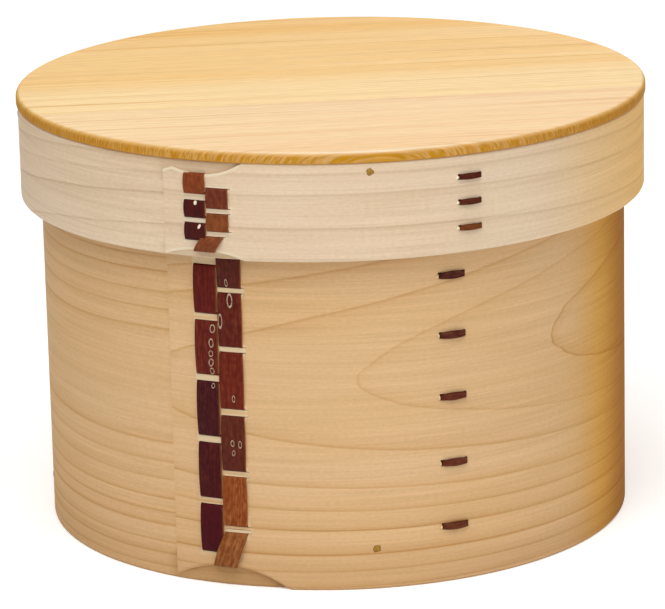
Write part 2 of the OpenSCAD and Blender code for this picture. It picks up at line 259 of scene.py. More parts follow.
def wrap_tree() -> NodeTree:
    """Builds the shared group that bends unrolled geometry round a wall's outer radius.

    Returns:
        The group.
    """
    tree, given = new_tree("wrap_round", {"Radius": "Float"})
    flat = add(tree, "ShaderNodeSeparateXYZ", [add(tree, "GeometryNodeInputPosition")]).outputs
    angle = add(tree, "ShaderNodeMath", [flat["X"], given["Radius"]], operation="DIVIDE")
    reach = add(tree, "ShaderNodeMath", [given["Radius"], flat["Y"]], operation="SUBTRACT")
    side = add(tree, "ShaderNodeMath", [angle], operation="SINE")
    front = add(tree, "ShaderNodeMath", [angle], operation="COSINE")
    x = add(tree, "ShaderNodeMath", [side, reach], operation="MULTIPLY")
    back = add(tree, "ShaderNodeMath", [front, reach], operation="MULTIPLY")
    y = add(tree, "ShaderNodeMath", [back, -1.0], operation="MULTIPLY")
    bent = add(tree, "ShaderNodeCombineXYZ", [x, y, flat["Z"]])
    moved = add(tree, "GeometryNodeSetPosition", {"Geometry": given["Geometry"], "Position": bent})
    add(tree, "NodeGroupOutput", {"Geometry": moved})
    return tree


def close_tree(tree: NodeTree, given: NodeOutputs, wrap: NodeTree, shape: Node) -> NodeTree:
    """Ends a tree: keeps the unrolled place, wraps the shape round, shades it and gives it its material.

    Args:
        tree: Tree to end.
        given: Its inputs, with Radius and Material.
        wrap: Group that bends the shape round.
        shape: Node that holds the unrolled shape.

    Returns:
        The finished tree.
    """
    real = add(tree, "GeometryNodeRealizeInstances", {"Geometry": shape})
    feeds = {"Geometry": real, "Name": "flat", "Value": add(tree, "GeometryNodeInputPosition")}
    noted = add(tree, "GeometryNodeStoreNamedAttribute", feeds, data_type="FLOAT_VECTOR", domain="POINT")
    bent = add(tree, "GeometryNodeGroup", {"Geometry": noted, "Radius": given["Radius"]}, node_tree=wrap)
    soft = add(tree, "GeometryNodeSetShadeSmooth", {"Geometry": bent, "Shade Smooth": True})
    bend = add(tree, "GeometryNodeInputMeshEdgeAngle")
    crisp = add(tree, "ShaderNodeMath", [bend, CRISP_ANGLE], operation="GREATER_THAN")
    feeds = {"Geometry": soft, "Selection": crisp, "Shade Smooth": False}
    shaded = add(tree, "GeometryNodeSetShadeSmooth", feeds, domain="EDGE")
    dressed = add(tree, "GeometryNodeSetMaterial", {"Geometry": shaded, "Material": given["Material"]})
    add(tree, "NodeGroupOutput", {"Geometry": dressed})
    return tree


def strip_tree(wrap: NodeTree) -> NodeTree:
    """Builds the rule of a bent wall: a flat strip whose two ends taper, lap over each other and go round.

    Args:
        wrap: Group that bends the strip round.

    Returns:
        The tree. The seed's depth is a share of the full wall, and its "lift" stands parts proud.
    """
    sizes = ("Radius", "Wall", "Lap start", "Lap end", "Tip", "Ease")
    tree, given = new_tree("bent_strip", dict.fromkeys(sizes, "Float") | {"Material": "Material"})
    radius, wall, start, end, tip, run = (given[size] for size in sizes)
    flat = add(tree, "ShaderNodeSeparateXYZ", [add(tree, "GeometryNodeInputPosition")]).outputs
    along = flat["X"]
    share = add(tree, "ShaderNodeMath", [flat["Y"], wall], operation="DIVIDE")
    thick = add(tree, "ShaderNodeMath", [wall, tip], operation="SUBTRACT")
    between = add(tree, "ShaderNodeMath", [thick, tip], operation="SUBTRACT")
    under_start = add(tree, "ShaderNodeMath", [radius, math.tau, start], operation="MULTIPLY_ADD")
    under_end = add(tree, "ShaderNodeMath", [radius, math.tau, end], operation="MULTIPLY_ADD")
    dip_start = add(tree, "ShaderNodeMath", [under_start, run], operation="SUBTRACT")
    dip_end = add(tree, "ShaderNodeMath", [end, run], operation="ADD")
    # The outer layer thickens from its tip, and the inner face eases back to the full wall past the other end
    scarf = add(tree, "ShaderNodeMapRange", [along, start, end, tip, thick])
    rise = add(tree, "ShaderNodeMapRange", [along, end, dip_end, 0.0, tip], **SOFT_ENDS)
    inner = add(tree, "ShaderNodeMath", [scarf, rise], operation="ADD")
    # The outer face dips under the tip, and the inner layer thins towards its own end
    dip = add(tree, "ShaderNodeMapRange", [along, dip_start, under_start, 0.0, tip], **SOFT_ENDS)
    thin = add(tree, "ShaderNodeMapRange", [along, under_start, under_end, 0.0, between])
    outer = add(tree, "ShaderNodeMath", [dip, thin], operation="ADD")
    span = add(tree, "ShaderNodeMath", [inner, outer], operation="SUBTRACT")
    within = add(tree, "ShaderNodeMath", [share, span, outer], operation="MULTIPLY_ADD")
    lift = add(tree, "GeometryNodeInputNamedAttribute", {"Name": "lift"}, data_type="FLOAT")
    depth = add(tree, "ShaderNodeMath", [within, lift], operation="SUBTRACT")
    tapered = add(tree, "ShaderNodeCombineXYZ", [along, depth, flat["Z"]])
    shape = add(tree, "GeometryNodeSetPosition", {"Geometry": given["Geometry"], "Position": tapered})
    return close_tree(tree, given, wrap, shape)


def strap_tree(wrap: NodeTree) -> NodeTree:
    """Builds the rule of a strap that follows a line of points in and out of a wall.

    Args:
        wrap: Group that bends the strap round.

    Returns:
        The tree. The seed's "shift" moves a point across the line, and its "flare" widens the strap there.
    """
    kinds = dict.fromkeys(("Radius", "Width", "Thickness", "Corner"), "Float")
    tree, given = new_tree("bark_strap", kinds | {"Across": "Vector", "Material": "Material"})
    axis, width = given["Across"], given["Width"]
    line = add(tree, "GeometryNodeMeshToCurve", {"Mesh": given["Geometry"]})
    turned = add(tree, "GeometryNodeSetCurveNormal", {"Curve": line, "Normal": axis}, mode="FREE")
    outline = add(tree, "GeometryNodeCurvePrimitiveQuadrilateral", [width, given["Thickness"]])
    feeds = {"Curve": outline, "Count": 3, "Radius": given["Corner"]}
    rounded = add(tree, "GeometryNodeFilletCurve", feeds, mode="POLY")
    feeds = {"Curve": turned, "Profile Curve": rounded, "Fill Caps": True}
    tube = add(tree, "GeometryNodeCurveToMesh", feeds)
    spot = add(tree, "GeometryNodeInputPosition")
    reach = add(tree, "ShaderNodeVectorMath", [spot, axis], operation="DOT_PRODUCT")
    noted = add(tree, "GeometryNodeStoreNamedAttribute", {"Geometry": tube, "Name": "across", "Value": reach})
    half = add(tree, "ShaderNodeMath", [width, 0.5], operation="MULTIPLY")
    across, shift, flare = (
        add(tree, "GeometryNodeInputNamedAttribute", {"Name": name}, data_type="FLOAT")
        for name in ("across", "shift", "flare")
    )
    out = add(tree, "ShaderNodeMath", [across], operation="ABSOLUTE")
    edge = add(tree, "ShaderNodeMath", [out, half], operation="DIVIDE")
    edged = add(tree, "GeometryNodeStoreNamedAttribute", {"Geometry": noted, "Name": "edge", "Value": edge})
    move = add(tree, "ShaderNodeMath", [across, flare, shift], operation="MULTIPLY_ADD")
    offset = add(tree, "ShaderNodeVectorMath", [axis, move], operation="SCALE")
    shape = add(tree, "GeometryNodeSetPosition", {"Geometry": edged, "Offset": offset})
    return close_tree(tree, given, wrap, shape)


def marks_tree(wrap: NodeTree, mark: Mark) -> NodeTree:
    """Builds the rule that sets one kind of small mark on a wall's points.

    Args:
        wrap: Group that bends the marks round.
        mark: Kind of mark.

    Returns:
        The tree. The seed's "wide", "deep" and "tall" size each mark, and its "turn" leans it.
    """
    tree, given = new_tree(mark.value, {"Radius": "Float", "Material": "Material"})
    # Either shape is about 1 mm across until it is sized
    if mark is Mark.RING_SCAR:
        loop = add(tree, "GeometryNodeCurvePrimitiveCircle", {"Resolution": 20, "Radius": 0.42 * MM})
        rim = add(tree, "GeometryNodeCurvePrimitiveCircle", {"Resolution": 6, "Radius": 0.075 * MM})
        shape = add(tree, "GeometryNodeCurveToMesh", {"Curve": loop, "Profile Curve": rim})
    else:
        shape = add(tree, "GeometryNodeMeshUVSphere", {"Segments": 12, "Rings": 6, "Radius": 0.5 * MM})
    upright = add(tree, "GeometryNodeTransform", {"Geometry": shape, "Rotation": (math.pi / 2, 0.0, 0.0)})
    wide, deep, tall, turn = (
        add(tree, "GeometryNodeInputNamedAttribute", {"Name": name}, data_type="FLOAT")
        for name in ("wide", "deep", "tall", "turn")
    )
    size = add(tree, "ShaderNodeCombineXYZ", [wide, deep, tall])
    lean = add(tree, "ShaderNodeCombineXYZ", {"Y": turn})
    feeds = {"Points": given["Geometry"], "Instance": upright, "Rotation": lean, "Scale": size}
    marks = add(tree, "GeometryNodeInstanceOnPoints", feeds)
    return close_tree(tree, given, wrap, marks)


def pegs_tree(wrap: NodeTree) -> NodeTree:
    """Builds the rule of a ring of whittled pegs, each a little out of round and domed at its cut end.

    Args:
        wrap: Group that carries the pegs round the wall.

    Returns:
        The tree. Its "peg_r" is the distance from a peg's middle as a share of its radius.
    """
    kinds = {"Radius": "Float", "Count": "Int", "First": "Vector", "Step": "Vector", "Peg radius": "Float"}
    kinds |= {"Length": "Float", "Dome": "Float", "Seed": "Int", "Material": "Material"}
    tree, given = new_tree("peg_ring", kinds)
    thick = given["Peg radius"]
    counts = {"Vertices": 11, "Side Segments": 4, "Fill Segments": 3}
    feeds = {**counts, "Radius": thick, "Depth": given["Length"]}
    rod = add(tree, "GeometryNodeMeshCylinder", feeds, fill_type="TRIANGLE_FAN")
    spot = add(tree, "GeometryNodeInputPosition")
    flat = add(tree, "ShaderNodeVectorMath", [spot, (1.0, 1.0, 0.0)], operation="MULTIPLY")
    reach = add(tree, "ShaderNodeVectorMath", [flat], operation="LENGTH")
    share = add(tree, "ShaderNodeMath", [reach, thick], operation="DIVIDE")
    noted = add(tree, "GeometryNodeStoreNamedAttribute", {"Geometry": rod, "Name": "peg_r", "Value": share})
    # The knife took up to 0.3 of the radius off, or left 0.2 of it on
    feeds = {"Min": -0.3, "Max": 0.2, "Seed": given["Seed"]}
    whittle = add(tree, "FunctionNodeRandomValue", feeds, data_type="FLOAT")
    aside = add(tree, "ShaderNodeVectorMath", [flat, whittle], operation="SCALE")
    squared = add(tree, "ShaderNodeMath", [share, share], operation="MULTIPLY")
    fall = add(tree, "ShaderNodeMath", [squared, given["Dome"]], operation="MULTIPLY")
    down = add(tree, "ShaderNodeMath", [fall, -1.0], operation="MULTIPLY")
    drop = add(tree, "ShaderNodeCombineXYZ", {"Z": down})
    both = add(tree, "ShaderNodeVectorMath", [aside, drop], operation="ADD")
    cut = add(tree, "GeometryNodeSetPosition", {"Geometry": noted, "Offset": both})
    lying = add(tree, "GeometryNodeTransform", {"Geometry": cut, "Rotation": (math.pi / 2, 0.0, 0.0)})
    feeds = {"Count": given["Count"], "Start Location": given["First"], "Offset": given["Step"]}
    line = add(tree, "GeometryNodeMeshLine", feeds)
    feeds = {"Min": 0.0, "Max": math.tau, "Seed": given["Seed"]}
    spin = add(tree, "FunctionNodeRandomValue", feeds, data_type="FLOAT")
    turned = add(tree, "ShaderNodeCombineXYZ", {"Y": spin})
    ring = add(tree, "GeometryNodeInstanceOnPoints", {"Points": line, "Instance": lying, "Rotation": turned})
    return close_tree(tree, given, wrap, ring)


# Finishes


def straight_view(tree: NodeTree) -> Node:
    """Adds nodes that tell what a view, a reflection or glass shows from what only lights other things.

    Args:
        tree: Tree of a material or of the world.

    Returns:
        Node that gives 1 for what is shown and 0 for light.
    """
    path = add(tree, "ShaderNodeLightPath").outputs
    seen = add(tree, "ShaderNodeMath", [path["Is Camera Ray"], path["Is Glossy Ray"]], operation="MAXIMUM")
    return add(tree, "ShaderNodeMath", [seen, path["Is Transmission Ray"]], operation="MAXIMUM")


@dataclass(frozen=True, kw_only=True)
class Finish:
    """A procedural pattern on one Principled shader."""

    name: str
    ior: float = 1.5
    # Specular level, where 0.5 leaves the gloss as the IOR gives it
    shine: float = 0.5
    # Roughness of its smooth and of its rough places
    rough: tuple[float, float]

    def material(self) -> Material:
        """Builds the finish.

        Returns:
            The new material.
        """
        material = bpy.data.materials.new(self.name)
        material.use_nodes = True
        tree = material.node_tree
        tree.nodes.clear()
        feeds = {"IOR": self.ior, "Specular IOR Level": self.shine} | self.look(tree)
        shader = add(tree, "ShaderNodeBsdfPrincipled", feeds)
        add(tree, "ShaderNodeOutputMaterial", {"Surface": shader})
        return material

    def look(self, tree: NodeTree) -> dict[str, object]:
        """Draws the pattern, in each finish's own way, and gives what goes into the shader's inputs."""
        raise NotImplementedError

    @staticmethod
    def drawn_out(
        tree: NodeTree,
        spot: Node | NodeSocket,
        sizes: tuple[tuple[float, float], ...],
        deep: float = 1.0,
        detail: float = 2.0,
    ) -> list[Node]:
        """Adds soft noise that is drawn out along the first axis.

        Args:
            tree: Tree of the material.
            spot: Gives each place.
            sizes: Length and width of each pattern's features.
            deep: How many widths they reach along the third axis.
            detail: How many finer layers each pattern has.

        Returns:
            One pattern for each size.
        """
        patterns = []
        for long, fine in sizes:
            scale = per_mm(long, fine, deep * fine)
            at = add(tree, "ShaderNodeVectorMath", [spot, scale], operation="MULTIPLY")
            patterns.append(add(tree, "ShaderNodeTexNoise", {"Vector": at, "Scale": 1.0, "Detail": detail}))
        return patterns


@dataclass(frozen=True, kw_only=True)
class BentSoftwood(Finish):
    """Flat-sawn cypress, planed and steam-bent, left bare.

    Pale spring wood and thin tan summer lines draw long arches along the strip. The planed face is matt with
    a faint silky sheen along the fibre.
    """

    shine: float = 0.025
    rough: tuple[float, float] = (0.52, 0.68)
    spring: str
    summer: str
    amber: str
    # Newly cut wood, also used for painted highlights, and handled darker wood, also used for painted shade
    fresh_and_highlit: str
    shade: str
    # Painted warm shade on the side away from the light, first and deepest
    warm_shade: str
    deep_warm_shade: str
    line_strength: float
    # Least share of that strength, since each year has its own
    faintest: float = 0.25
    # Width of a year's line and of the soft tint before it, and how much of the line each of them gives
    line: tuple[float, float] = (0.9, 5.0)
    line_parts: tuple[float, float] = (0.65, 0.35)
    # How far lines waver, in years
    wander: float = 0.12
    # Fibres are really 0.03 mm wide, too fine to show, so bundles of this length and width are drawn
    fibre: tuple[float, float] = (45.0, 0.55)
    patch: tuple[float, float] = (140.0, 26.0)
    waver: tuple[float, float] = (60.0, 9.0)
    streak: tuple[float, float] = (110.0, 2.4)
    speck: tuple[float, float] = (1.6, 0.7)
    # Open fibre is a little lighter, and dense fibre darker and warmer
    open_fibre: tuple[float, ...] = (1.12, 1.12, 1.12, 1.0)
    dense_fibre: tuple[float, ...] = (0.93, 0.875, 0.80, 1.0)

    def year_lines(self, tree: NodeTree, year: Node, pace: NodeSocket) -> tuple[Node, Node]:
        """Ends each year in a line with a soft side, a sharp side and its own strength.

        Args:
            tree: Tree of the material.
            year: Gives the years from the pith.
            pace: Gives the years that pass in a millimetre.

        Returns:
            The lines at full strength, and at their own.
        """
        narrow, wide = self.line
        core_part, soft_part = self.line_parts
        part = add(tree, "ShaderNodeMath", [year], operation="FRACT")
        number = add(tree, "ShaderNodeMath", [year], operation="FLOOR")
        chance = add(tree, "ShaderNodeTexWhiteNoise", {"W": number}, noise_dimensions="1D")
        strength = add(tree, "ShaderNodeMapRange", [chance, 0.0, 1.0, self.faintest, 1.0])
        left = add(tree, "ShaderNodeMath", [1.0, part], operation="SUBTRACT")
        before = add(tree, "ShaderNodeMath", [left, pace], operation="DIVIDE")
        after = add(tree, "ShaderNodeMath", [part, pace], operation="DIVIDE")
        soft = add(tree, "ShaderNodeMapRange", [before, 0.0, wide, soft_part, 0.0])
        core = add(tree, "ShaderNodeMapRange", [before, 0.0, narrow, core_part, 0.0])
        sharp = add(tree, "ShaderNodeMapRange", [after, 0.0, 0.5 * narrow, 1.0, 0.0])
        rising = add(tree, "ShaderNodeMath", [soft, core], operation="ADD")
        late = add(tree, "ShaderNodeMath", [rising, sharp], operation="MAXIMUM")
        return late, add(tree, "ShaderNodeMath", [late, strength], operation="MULTIPLY")

    def look(self, tree: NodeTree) -> dict[str, object]:
        """Draws the wood from the strip's "flat", "ring", "pace", "plain", "aged" and "tone" values.

        Args:
            tree: Tree of the material.

        Returns:
            What goes into the shader's inputs.
        """
        flat = add(tree, "ShaderNodeAttribute", attribute_name="flat").outputs["Vector"]
        ring, pace, plain, side_shade, tone = (
            add(tree, "ShaderNodeAttribute", attribute_name=name).outputs["Fac"]
            for name in ("ring", "pace", "plain", "side_shade", "tone")
        )
        sizes = (self.fibre, self.patch, self.waver, self.streak, self.speck)
        fibre, patch, waver, streak, speck = self.drawn_out(tree, flat, sizes)
        year = add(tree, "ShaderNodeMath", [waver, self.wander, ring], operation="MULTIPLY_ADD")
        late, line = self.year_lines(tree, year, pace)
        shown = add(tree, "ShaderNodeMapRange", [plain, 0.0, 1.0, self.line_strength, 0.0])
        drawn = add(tree, "ShaderNodeMath", [line, shown], operation="MULTIPLY")
        # Patches of amber wood, then painted warm shade on the side away from the light
        warm = add(tree, "ShaderNodeMapRange", [patch, 0.35, 0.7, 0.0, 0.5])
        feeds = [warm, linear(self.spring), linear(self.amber)]
        ground = add(tree, "ShaderNodeMix", feeds, data_type="RGBA")
        first = add(tree, "ShaderNodeMapRange", [side_shade, 0.0, 0.5], **SOFT_ENDS)
        warm_shaded = add(tree, "ShaderNodeMix", [first, ground, linear(self.warm_shade)], data_type="RGBA")
        later = add(tree, "ShaderNodeMapRange", [side_shade, 0.35, 1.0], **SOFT_ENDS)
        side_shaded = add(tree, "ShaderNodeMix", [later, warm_shaded, linear(self.deep_warm_shade)], data_type="RGBA")
        # Year lines and then fibres stain what is under them
        darker = tuple(dark / light for dark, light in zip(linear(self.summer), linear(self.spring)))
        stain = add(tree, "ShaderNodeMix", [drawn, WHITE, darker], data_type="RGBA")
        lined = add(tree, "ShaderNodeVectorMath", [side_shaded, stain], operation="MULTIPLY")
        grain = add(tree, "ShaderNodeMath", [streak, 0.8, fibre], operation="MULTIPLY_ADD")
        specked = add(tree, "ShaderNodeMath", [speck, 0.7, grain], operation="MULTIPLY_ADD")
        dense = add(tree, "ShaderNodeMapRange", [specked, 0.85, 1.65])
        fibres = add(tree, "ShaderNodeMix", [dense, self.open_fibre, self.dense_fibre], data_type="RGBA")
        shaded = add(tree, "ShaderNodeVectorMath", [lined, fibres], operation="MULTIPLY")
        # Tones above 0 add cut wood and painted highlight, below 0 handled wood and painted shade
        up = add(tree, "ShaderNodeMapRange", [tone, 0.0, 1.0])
        down = add(tree, "ShaderNodeMapRange", [tone, 0.0, -1.0])
        cut = add(tree, "ShaderNodeMix", [up, shaded, linear(self.fresh_and_highlit)], data_type="RGBA")
        worn = add(tree, "ShaderNodeMix", [down, cut, linear(self.shade)], data_type="RGBA")
        rough = add(tree, "ShaderNodeMapRange", [fibre, 0.25, 0.75, *self.rough])
        relief = add(tree, "ShaderNodeMath", [late, 0.5, fibre], operation="MULTIPLY_ADD")
        bump = add(tree, "ShaderNodeBump", {"Strength": 0.25, "Distance": 0.15 * MM, "Height": relief})
        return {"Base Color": worn, "Roughness": rough, "Normal": bump}


@dataclass(frozen=True, kw_only=True)
class StraightSoftwood(Finish):
    """Quarter-sawn cypress, planed flat and left bare.

    Fine straight lines run one way with broad honey bands between them. A turned edge shows the lines end-on
    as short upright ticks, its end grain is deep gold, and a painted highlight lies along the grain on it.
    """

    shine: float = 0.03
    rough: tuple[float, float] = (0.5, 0.62)
    pale: str
    honey: str
    line: str
    rim: str
    # Colour of the painted highlight along the rounded top edge
    highlight_cream: str = "#FFF0D6"
    # What end grain is multiplied by
    end_stain: tuple[float, ...] = (0.88, 0.74, 0.36, 1.0)
    turn: float
    # Middle and half width of a pale strip along the grain, and the least share of honey outside it
    sapwood: tuple[float, float] = (0.0, 1.0)
    heart: float = 0.1
    # How far years lean in a millimetre of the board's thickness, and how far they swerve
    slant: float = 0.16
    swerve: float = 4.0
    # How many widths a line reaches down into the board
    deep: float = 16.0
    band: tuple[float, float] = (520.0, 22.0)
    # Years are 0.5 to 2 mm apart here, drawn as lines of this width so that they show
    years: tuple[float, float] = (420.0, 1.3)
    ticks: tuple[float, float] = (40.0, 0.24)
    streak: tuple[float, float] = (260.0, 2.6)
    fibre: tuple[float, float] = (7.0, 0.3)
    waver: tuple[float, float] = (160.0, 40.0)

    def edge(self, tree: NodeTree, face: Node, ticks: Node) -> Node:
        """Lays the colours of a turned edge over the face, from the plate's "rim" and "end_grain" values.

        Args:
            tree: Tree of the material.
            face: Gives the colour of the face.
            ticks: Gives the pattern of lines seen end-on.

        Returns:
            Node that gives the colour.
        """
        rim, end = (
            add(tree, "ShaderNodeAttribute", attribute_name=name).outputs["Fac"]
            for name in ("rim", "end_grain")
        )
        ticked = add(tree, "ShaderNodeMapRange", [ticks, 0.4, 0.6, 0.6, 1.0])
        rimmed = add(tree, "ShaderNodeMath", [rim, ticked], operation="MULTIPLY")
        edged = add(tree, "ShaderNodeMix", [rimmed, face, linear(self.rim)], data_type="RGBA")
        # A painted highlight: pale cream on the upper part of the rounding, where it runs with the grain
        begin = add(tree, "ShaderNodeMapRange", [rim, 0.0, 0.08])
        finish = add(tree, "ShaderNodeMapRange", [rim, 0.08, 0.5, 1.0, 0.0])
        round_part = add(tree, "ShaderNodeMath", [begin, finish], operation="MULTIPLY")
        long_grain = add(tree, "ShaderNodeMapRange", [end, 0.0, 0.7, 0.85, 0.0])
        highlight_part = add(tree, "ShaderNodeMath", [round_part, long_grain], operation="MULTIPLY")
        rubbed = add(tree, "ShaderNodeMix", [highlight_part, edged, linear(self.highlight_cream)], data_type="RGBA")
        deepens = add(tree, "ShaderNodeMapRange", [rim, 0.0, 0.35])
        end_part = add(tree, "ShaderNodeMath", [end, deepens], operation="MULTIPLY")
        stain = add(tree, "ShaderNodeMix", [end_part, WHITE, self.end_stain], data_type="RGBA")
        return add(tree, "ShaderNodeVectorMath", [rubbed, stain], operation="MULTIPLY")

    def look(self, tree: NodeTree) -> dict[str, object]:
        """Draws the wood as a solid pattern in the board.

        Args:
            tree: Tree of the material.

        Returns:
            What goes into the shader's inputs.
        """
        spot = add(tree, "ShaderNodeTexCoord").outputs["Object"]
        feeds = {"Vector": spot, "Rotation": (0.0, 0.0, -math.radians(self.turn))}
        turned = add(tree, "ShaderNodeMapping", feeds)
        sway = self.drawn_out(tree, turned, (self.waver,), detail=1.0)[0]
        # Years stand aslant in the board, so a turned edge shows them as arches
        board = add(tree, "ShaderNodeSeparateXYZ", [turned]).outputs
        swerve = add(tree, "ShaderNodeMapRange", [sway, 0.0, 1.0, -self.swerve * MM, self.swerve * MM])
        lean = add(tree, "ShaderNodeMath", [board["Z"], self.slant, swerve], operation="MULTIPLY_ADD")
        shift = add(tree, "ShaderNodeCombineXYZ", {"Y": lean})
        grain = add(tree, "ShaderNodeVectorMath", [turned, shift], operation="ADD")
        sizes = (self.band, self.years, self.ticks, self.streak, self.fibre)
        band, years, ticks, streak, fibre = self.drawn_out(tree, grain, sizes, self.deep)
        middle, half = (size * MM for size in self.sapwood)
        off = add(tree, "ShaderNodeMath", [board["Y"], middle], operation="SUBTRACT")
        aside = add(tree, "ShaderNodeMath", [off], operation="ABSOLUTE")
        outside = add(tree, "ShaderNodeMapRange", [aside, 0.3 * half, half], **SOFT_ENDS)
        honeyed = add(tree, "ShaderNodeMapRange", [band, 0.36, 0.66, self.heart, 1.0])
        warm = add(tree, "ShaderNodeMath", [honeyed, outside], operation="MULTIPLY")
        ground = add(tree, "ShaderNodeMix", [warm, linear(self.pale), linear(self.honey)], data_type="RGBA")
        fine = add(tree, "ShaderNodeMapRange", [years, 0.45, 0.7, 0.0, 0.32])
        strong = add(tree, "ShaderNodeMapRange", [streak, 0.59, 0.72, 0.0, 0.5])
        drawn = add(tree, "ShaderNodeMath", [fine, strong], operation="ADD")
        lined = add(tree, "ShaderNodeMix", [drawn, ground, linear(self.line)], data_type="RGBA")
        edged = self.edge(tree, lined, ticks)
        woolly = add(tree, "ShaderNodeMapRange", [fibre, 0.3, 0.7, 1.06, 0.9])
        coloured = add(tree, "ShaderNodeVectorMath", [edged, woolly], operation="SCALE")
        rough = add(tree, "ShaderNodeMapRange", [years, 0.3, 0.7, *self.rough])
        relief = add(tree, "ShaderNodeMath", [ticks, 0.6, years], operation="MULTIPLY_ADD")
        bump = add(tree, "ShaderNodeBump", {"Strength": 0.2, "Distance": 0.12 * MM, "Height": relief})
        return {"Base Color": coloured, "Roughness": rough, "Normal": bump}


@dataclass(frozen=True, kw_only=True)
class CherryBark(Finish):
    """Mountain cherry bark, scraped thin and polished by hand.

    Dark red-brown with a satin shine, fine streaks along the strap, worn tan places, and cut edges that show
    the lighter orange bark underneath.
    """

    name: str = "polished_cherry_bark"
    ior: float = 1.45
    shine: float = 0.12
    rough: tuple[float, float] = (0.38, 0.55)
    edge: str = "#A05A26"
    # Share of the half width at which the edge begins
    edge_from: float = 0.955
    worn: str = "#B07C4C"
    streak: tuple[float, float] = (9.0, 0.45)
    mottle: tuple[float, float] = (2.4, 1.3)

    def look(self, tree: NodeTree) -> dict[str, object]:
        """Draws the bark from the strap's "tone", "scuff", "edge", "along" and "across" values.

        Args:
            tree: Tree of the material.

        Returns:
            What goes into the shader's inputs.
        """
        tone = add(tree, "ShaderNodeAttribute", attribute_name="tone").outputs["Color"]
        scuff, edge, along, across = (
            add(tree, "ShaderNodeAttribute", attribute_name=name).outputs["Fac"]
            for name in ("scuff", "edge", "along", "across")
        )
        spot = add(tree, "ShaderNodeCombineXYZ", {"X": along, "Y": across})
        streak, mottle = self.drawn_out(tree, spot, (self.streak, self.mottle), detail=4.0)
        light = add(tree, "ShaderNodeMapRange", [streak, 0.3, 0.7, 0.82, 1.2])
        cloud = add(tree, "ShaderNodeMapRange", [mottle, 0.3, 0.7, 0.75, 1.25])
        both = add(tree, "ShaderNodeMath", [light, cloud], operation="MULTIPLY")
        skin = add(tree, "ShaderNodeVectorMath", [tone, both], operation="SCALE")
        rubbed = add(tree, "ShaderNodeMapRange", [streak, 0.42, 0.62])
        patch = add(tree, "ShaderNodeMapRange", [mottle, 0.38, 0.6])
        bare = add(tree, "ShaderNodeMath", [rubbed, patch], operation="MULTIPLY")
        wear = add(tree, "ShaderNodeMath", [bare, scuff], operation="MULTIPLY")
        scuffed = add(tree, "ShaderNodeMix", [wear, skin, linear(self.worn)], data_type="RGBA")
        rim = add(tree, "ShaderNodeMapRange", [edge, self.edge_from, 1.0, 0.0, 0.85])
        edged = add(tree, "ShaderNodeMix", [rim, scuffed, linear(self.edge)], data_type="RGBA")
        rough = add(tree, "ShaderNodeMapRange", [streak, 0.3, 0.7, *self.rough])
        relief = add(tree, "ShaderNodeMath", [mottle, 1.5, streak], operation="MULTIPLY_ADD")
        bump = add(tree, "ShaderNodeBump", {"Strength": 0.3, "Distance": 0.12 * MM, "Height": relief})
        return {"Base Color": edged, "Roughness": rough, "Normal": bump}


@dataclass(frozen=True, kw_only=True)
class BambooPeg(Finish):
    """Whittled bamboo, driven in and cut flush.

    The cut end is tan-brown with dark fibre dots, and a dark line of glue shows round it.
    """

    name: str = "whittled_bamboo_peg"
    shine: float = 0.1
    rough: tuple[float, float] = (0.5, 0.65)
    tan: str = "#B08538"
    fibre: str = "#6A4718"
    glue: str = "#7A5622"
    dot: float = 0.5

    def look(self, tree: NodeTree) -> dict[str, object]:
        """Draws the bamboo as a solid pattern, with the peg's own "peg_r" values.

        Args:
            tree: Tree of the material.

        Returns:
            What goes into the shader's inputs.
        """
        spot = add(tree, "ShaderNodeTexCoord").outputs["Object"]
        reach = add(tree, "ShaderNodeAttribute", attribute_name="peg_r").outputs["Fac"]
        cells = add(tree, "ShaderNodeTexVoronoi", {"Vector": spot, "Scale": per_mm(self.dot)[0]})
        dots = add(tree, "ShaderNodeMapRange", [cells, 0.15, 0.4, 0.8, 0.0])
        dotted = add(tree, "ShaderNodeMix", [dots, linear(self.tan), linear(self.fibre)], data_type="RGBA")
        round_line = add(tree, "ShaderNodeMapRange", [reach, 0.7, 1.0, 0.0, 0.9])
        ringed = add(tree, "ShaderNodeMix", [round_line, dotted, linear(self.glue)], data_type="RGBA")
        rough = add(tree, "ShaderNodeMapRange", [dots, 0.0, 1.0, *self.rough])
        bump = add(tree, "ShaderNodeBump", {"Strength": 0.4, "Distance": 0.1 * MM, "Height": cells})
        return {"Base Color": ringed, "Roughness": rough, "Normal": bump}


@dataclass(frozen=True, kw_only=True)
class CorkScar(Finish):
    """Cork of the bark's breathing pores, or a torn fleck of pale wood: dry, matt and unevenly pale."""

    rough: tuple[float, float] = (0.6, 0.85)
    pale: str
    brown: str
    grit: float = 0.5

    def look(self, tree: NodeTree) -> dict[str, object]:
        """Draws a fine mottle in two tones.

        Args:
            tree: Tree of the material.

        Returns:
            What goes into the shader's inputs.
        """
        spot = add(tree, "ShaderNodeTexCoord").outputs["Object"]
        feeds = {"Vector": spot, "Scale": per_mm(self.grit)[0], "Detail": 2.0}
        grit = add(tree, "ShaderNodeTexNoise", feeds)
        share = add(tree, "ShaderNodeMapRange", [grit, 0.4, 0.65])
        mixed = add(tree, "ShaderNodeMix", [share, linear(self.pale), linear(self.brown)], data_type="RGBA")
        rough = add(tree, "ShaderNodeMapRange", [grit, 0.0, 1.0, *self.rough])
        bump = add(tree, "ShaderNodeBump", {"Strength": 0.3, "Distance": 0.05 * MM, "Height": grit})
        return {"Base Color": mixed, "Roughness": rough, "Normal": bump}


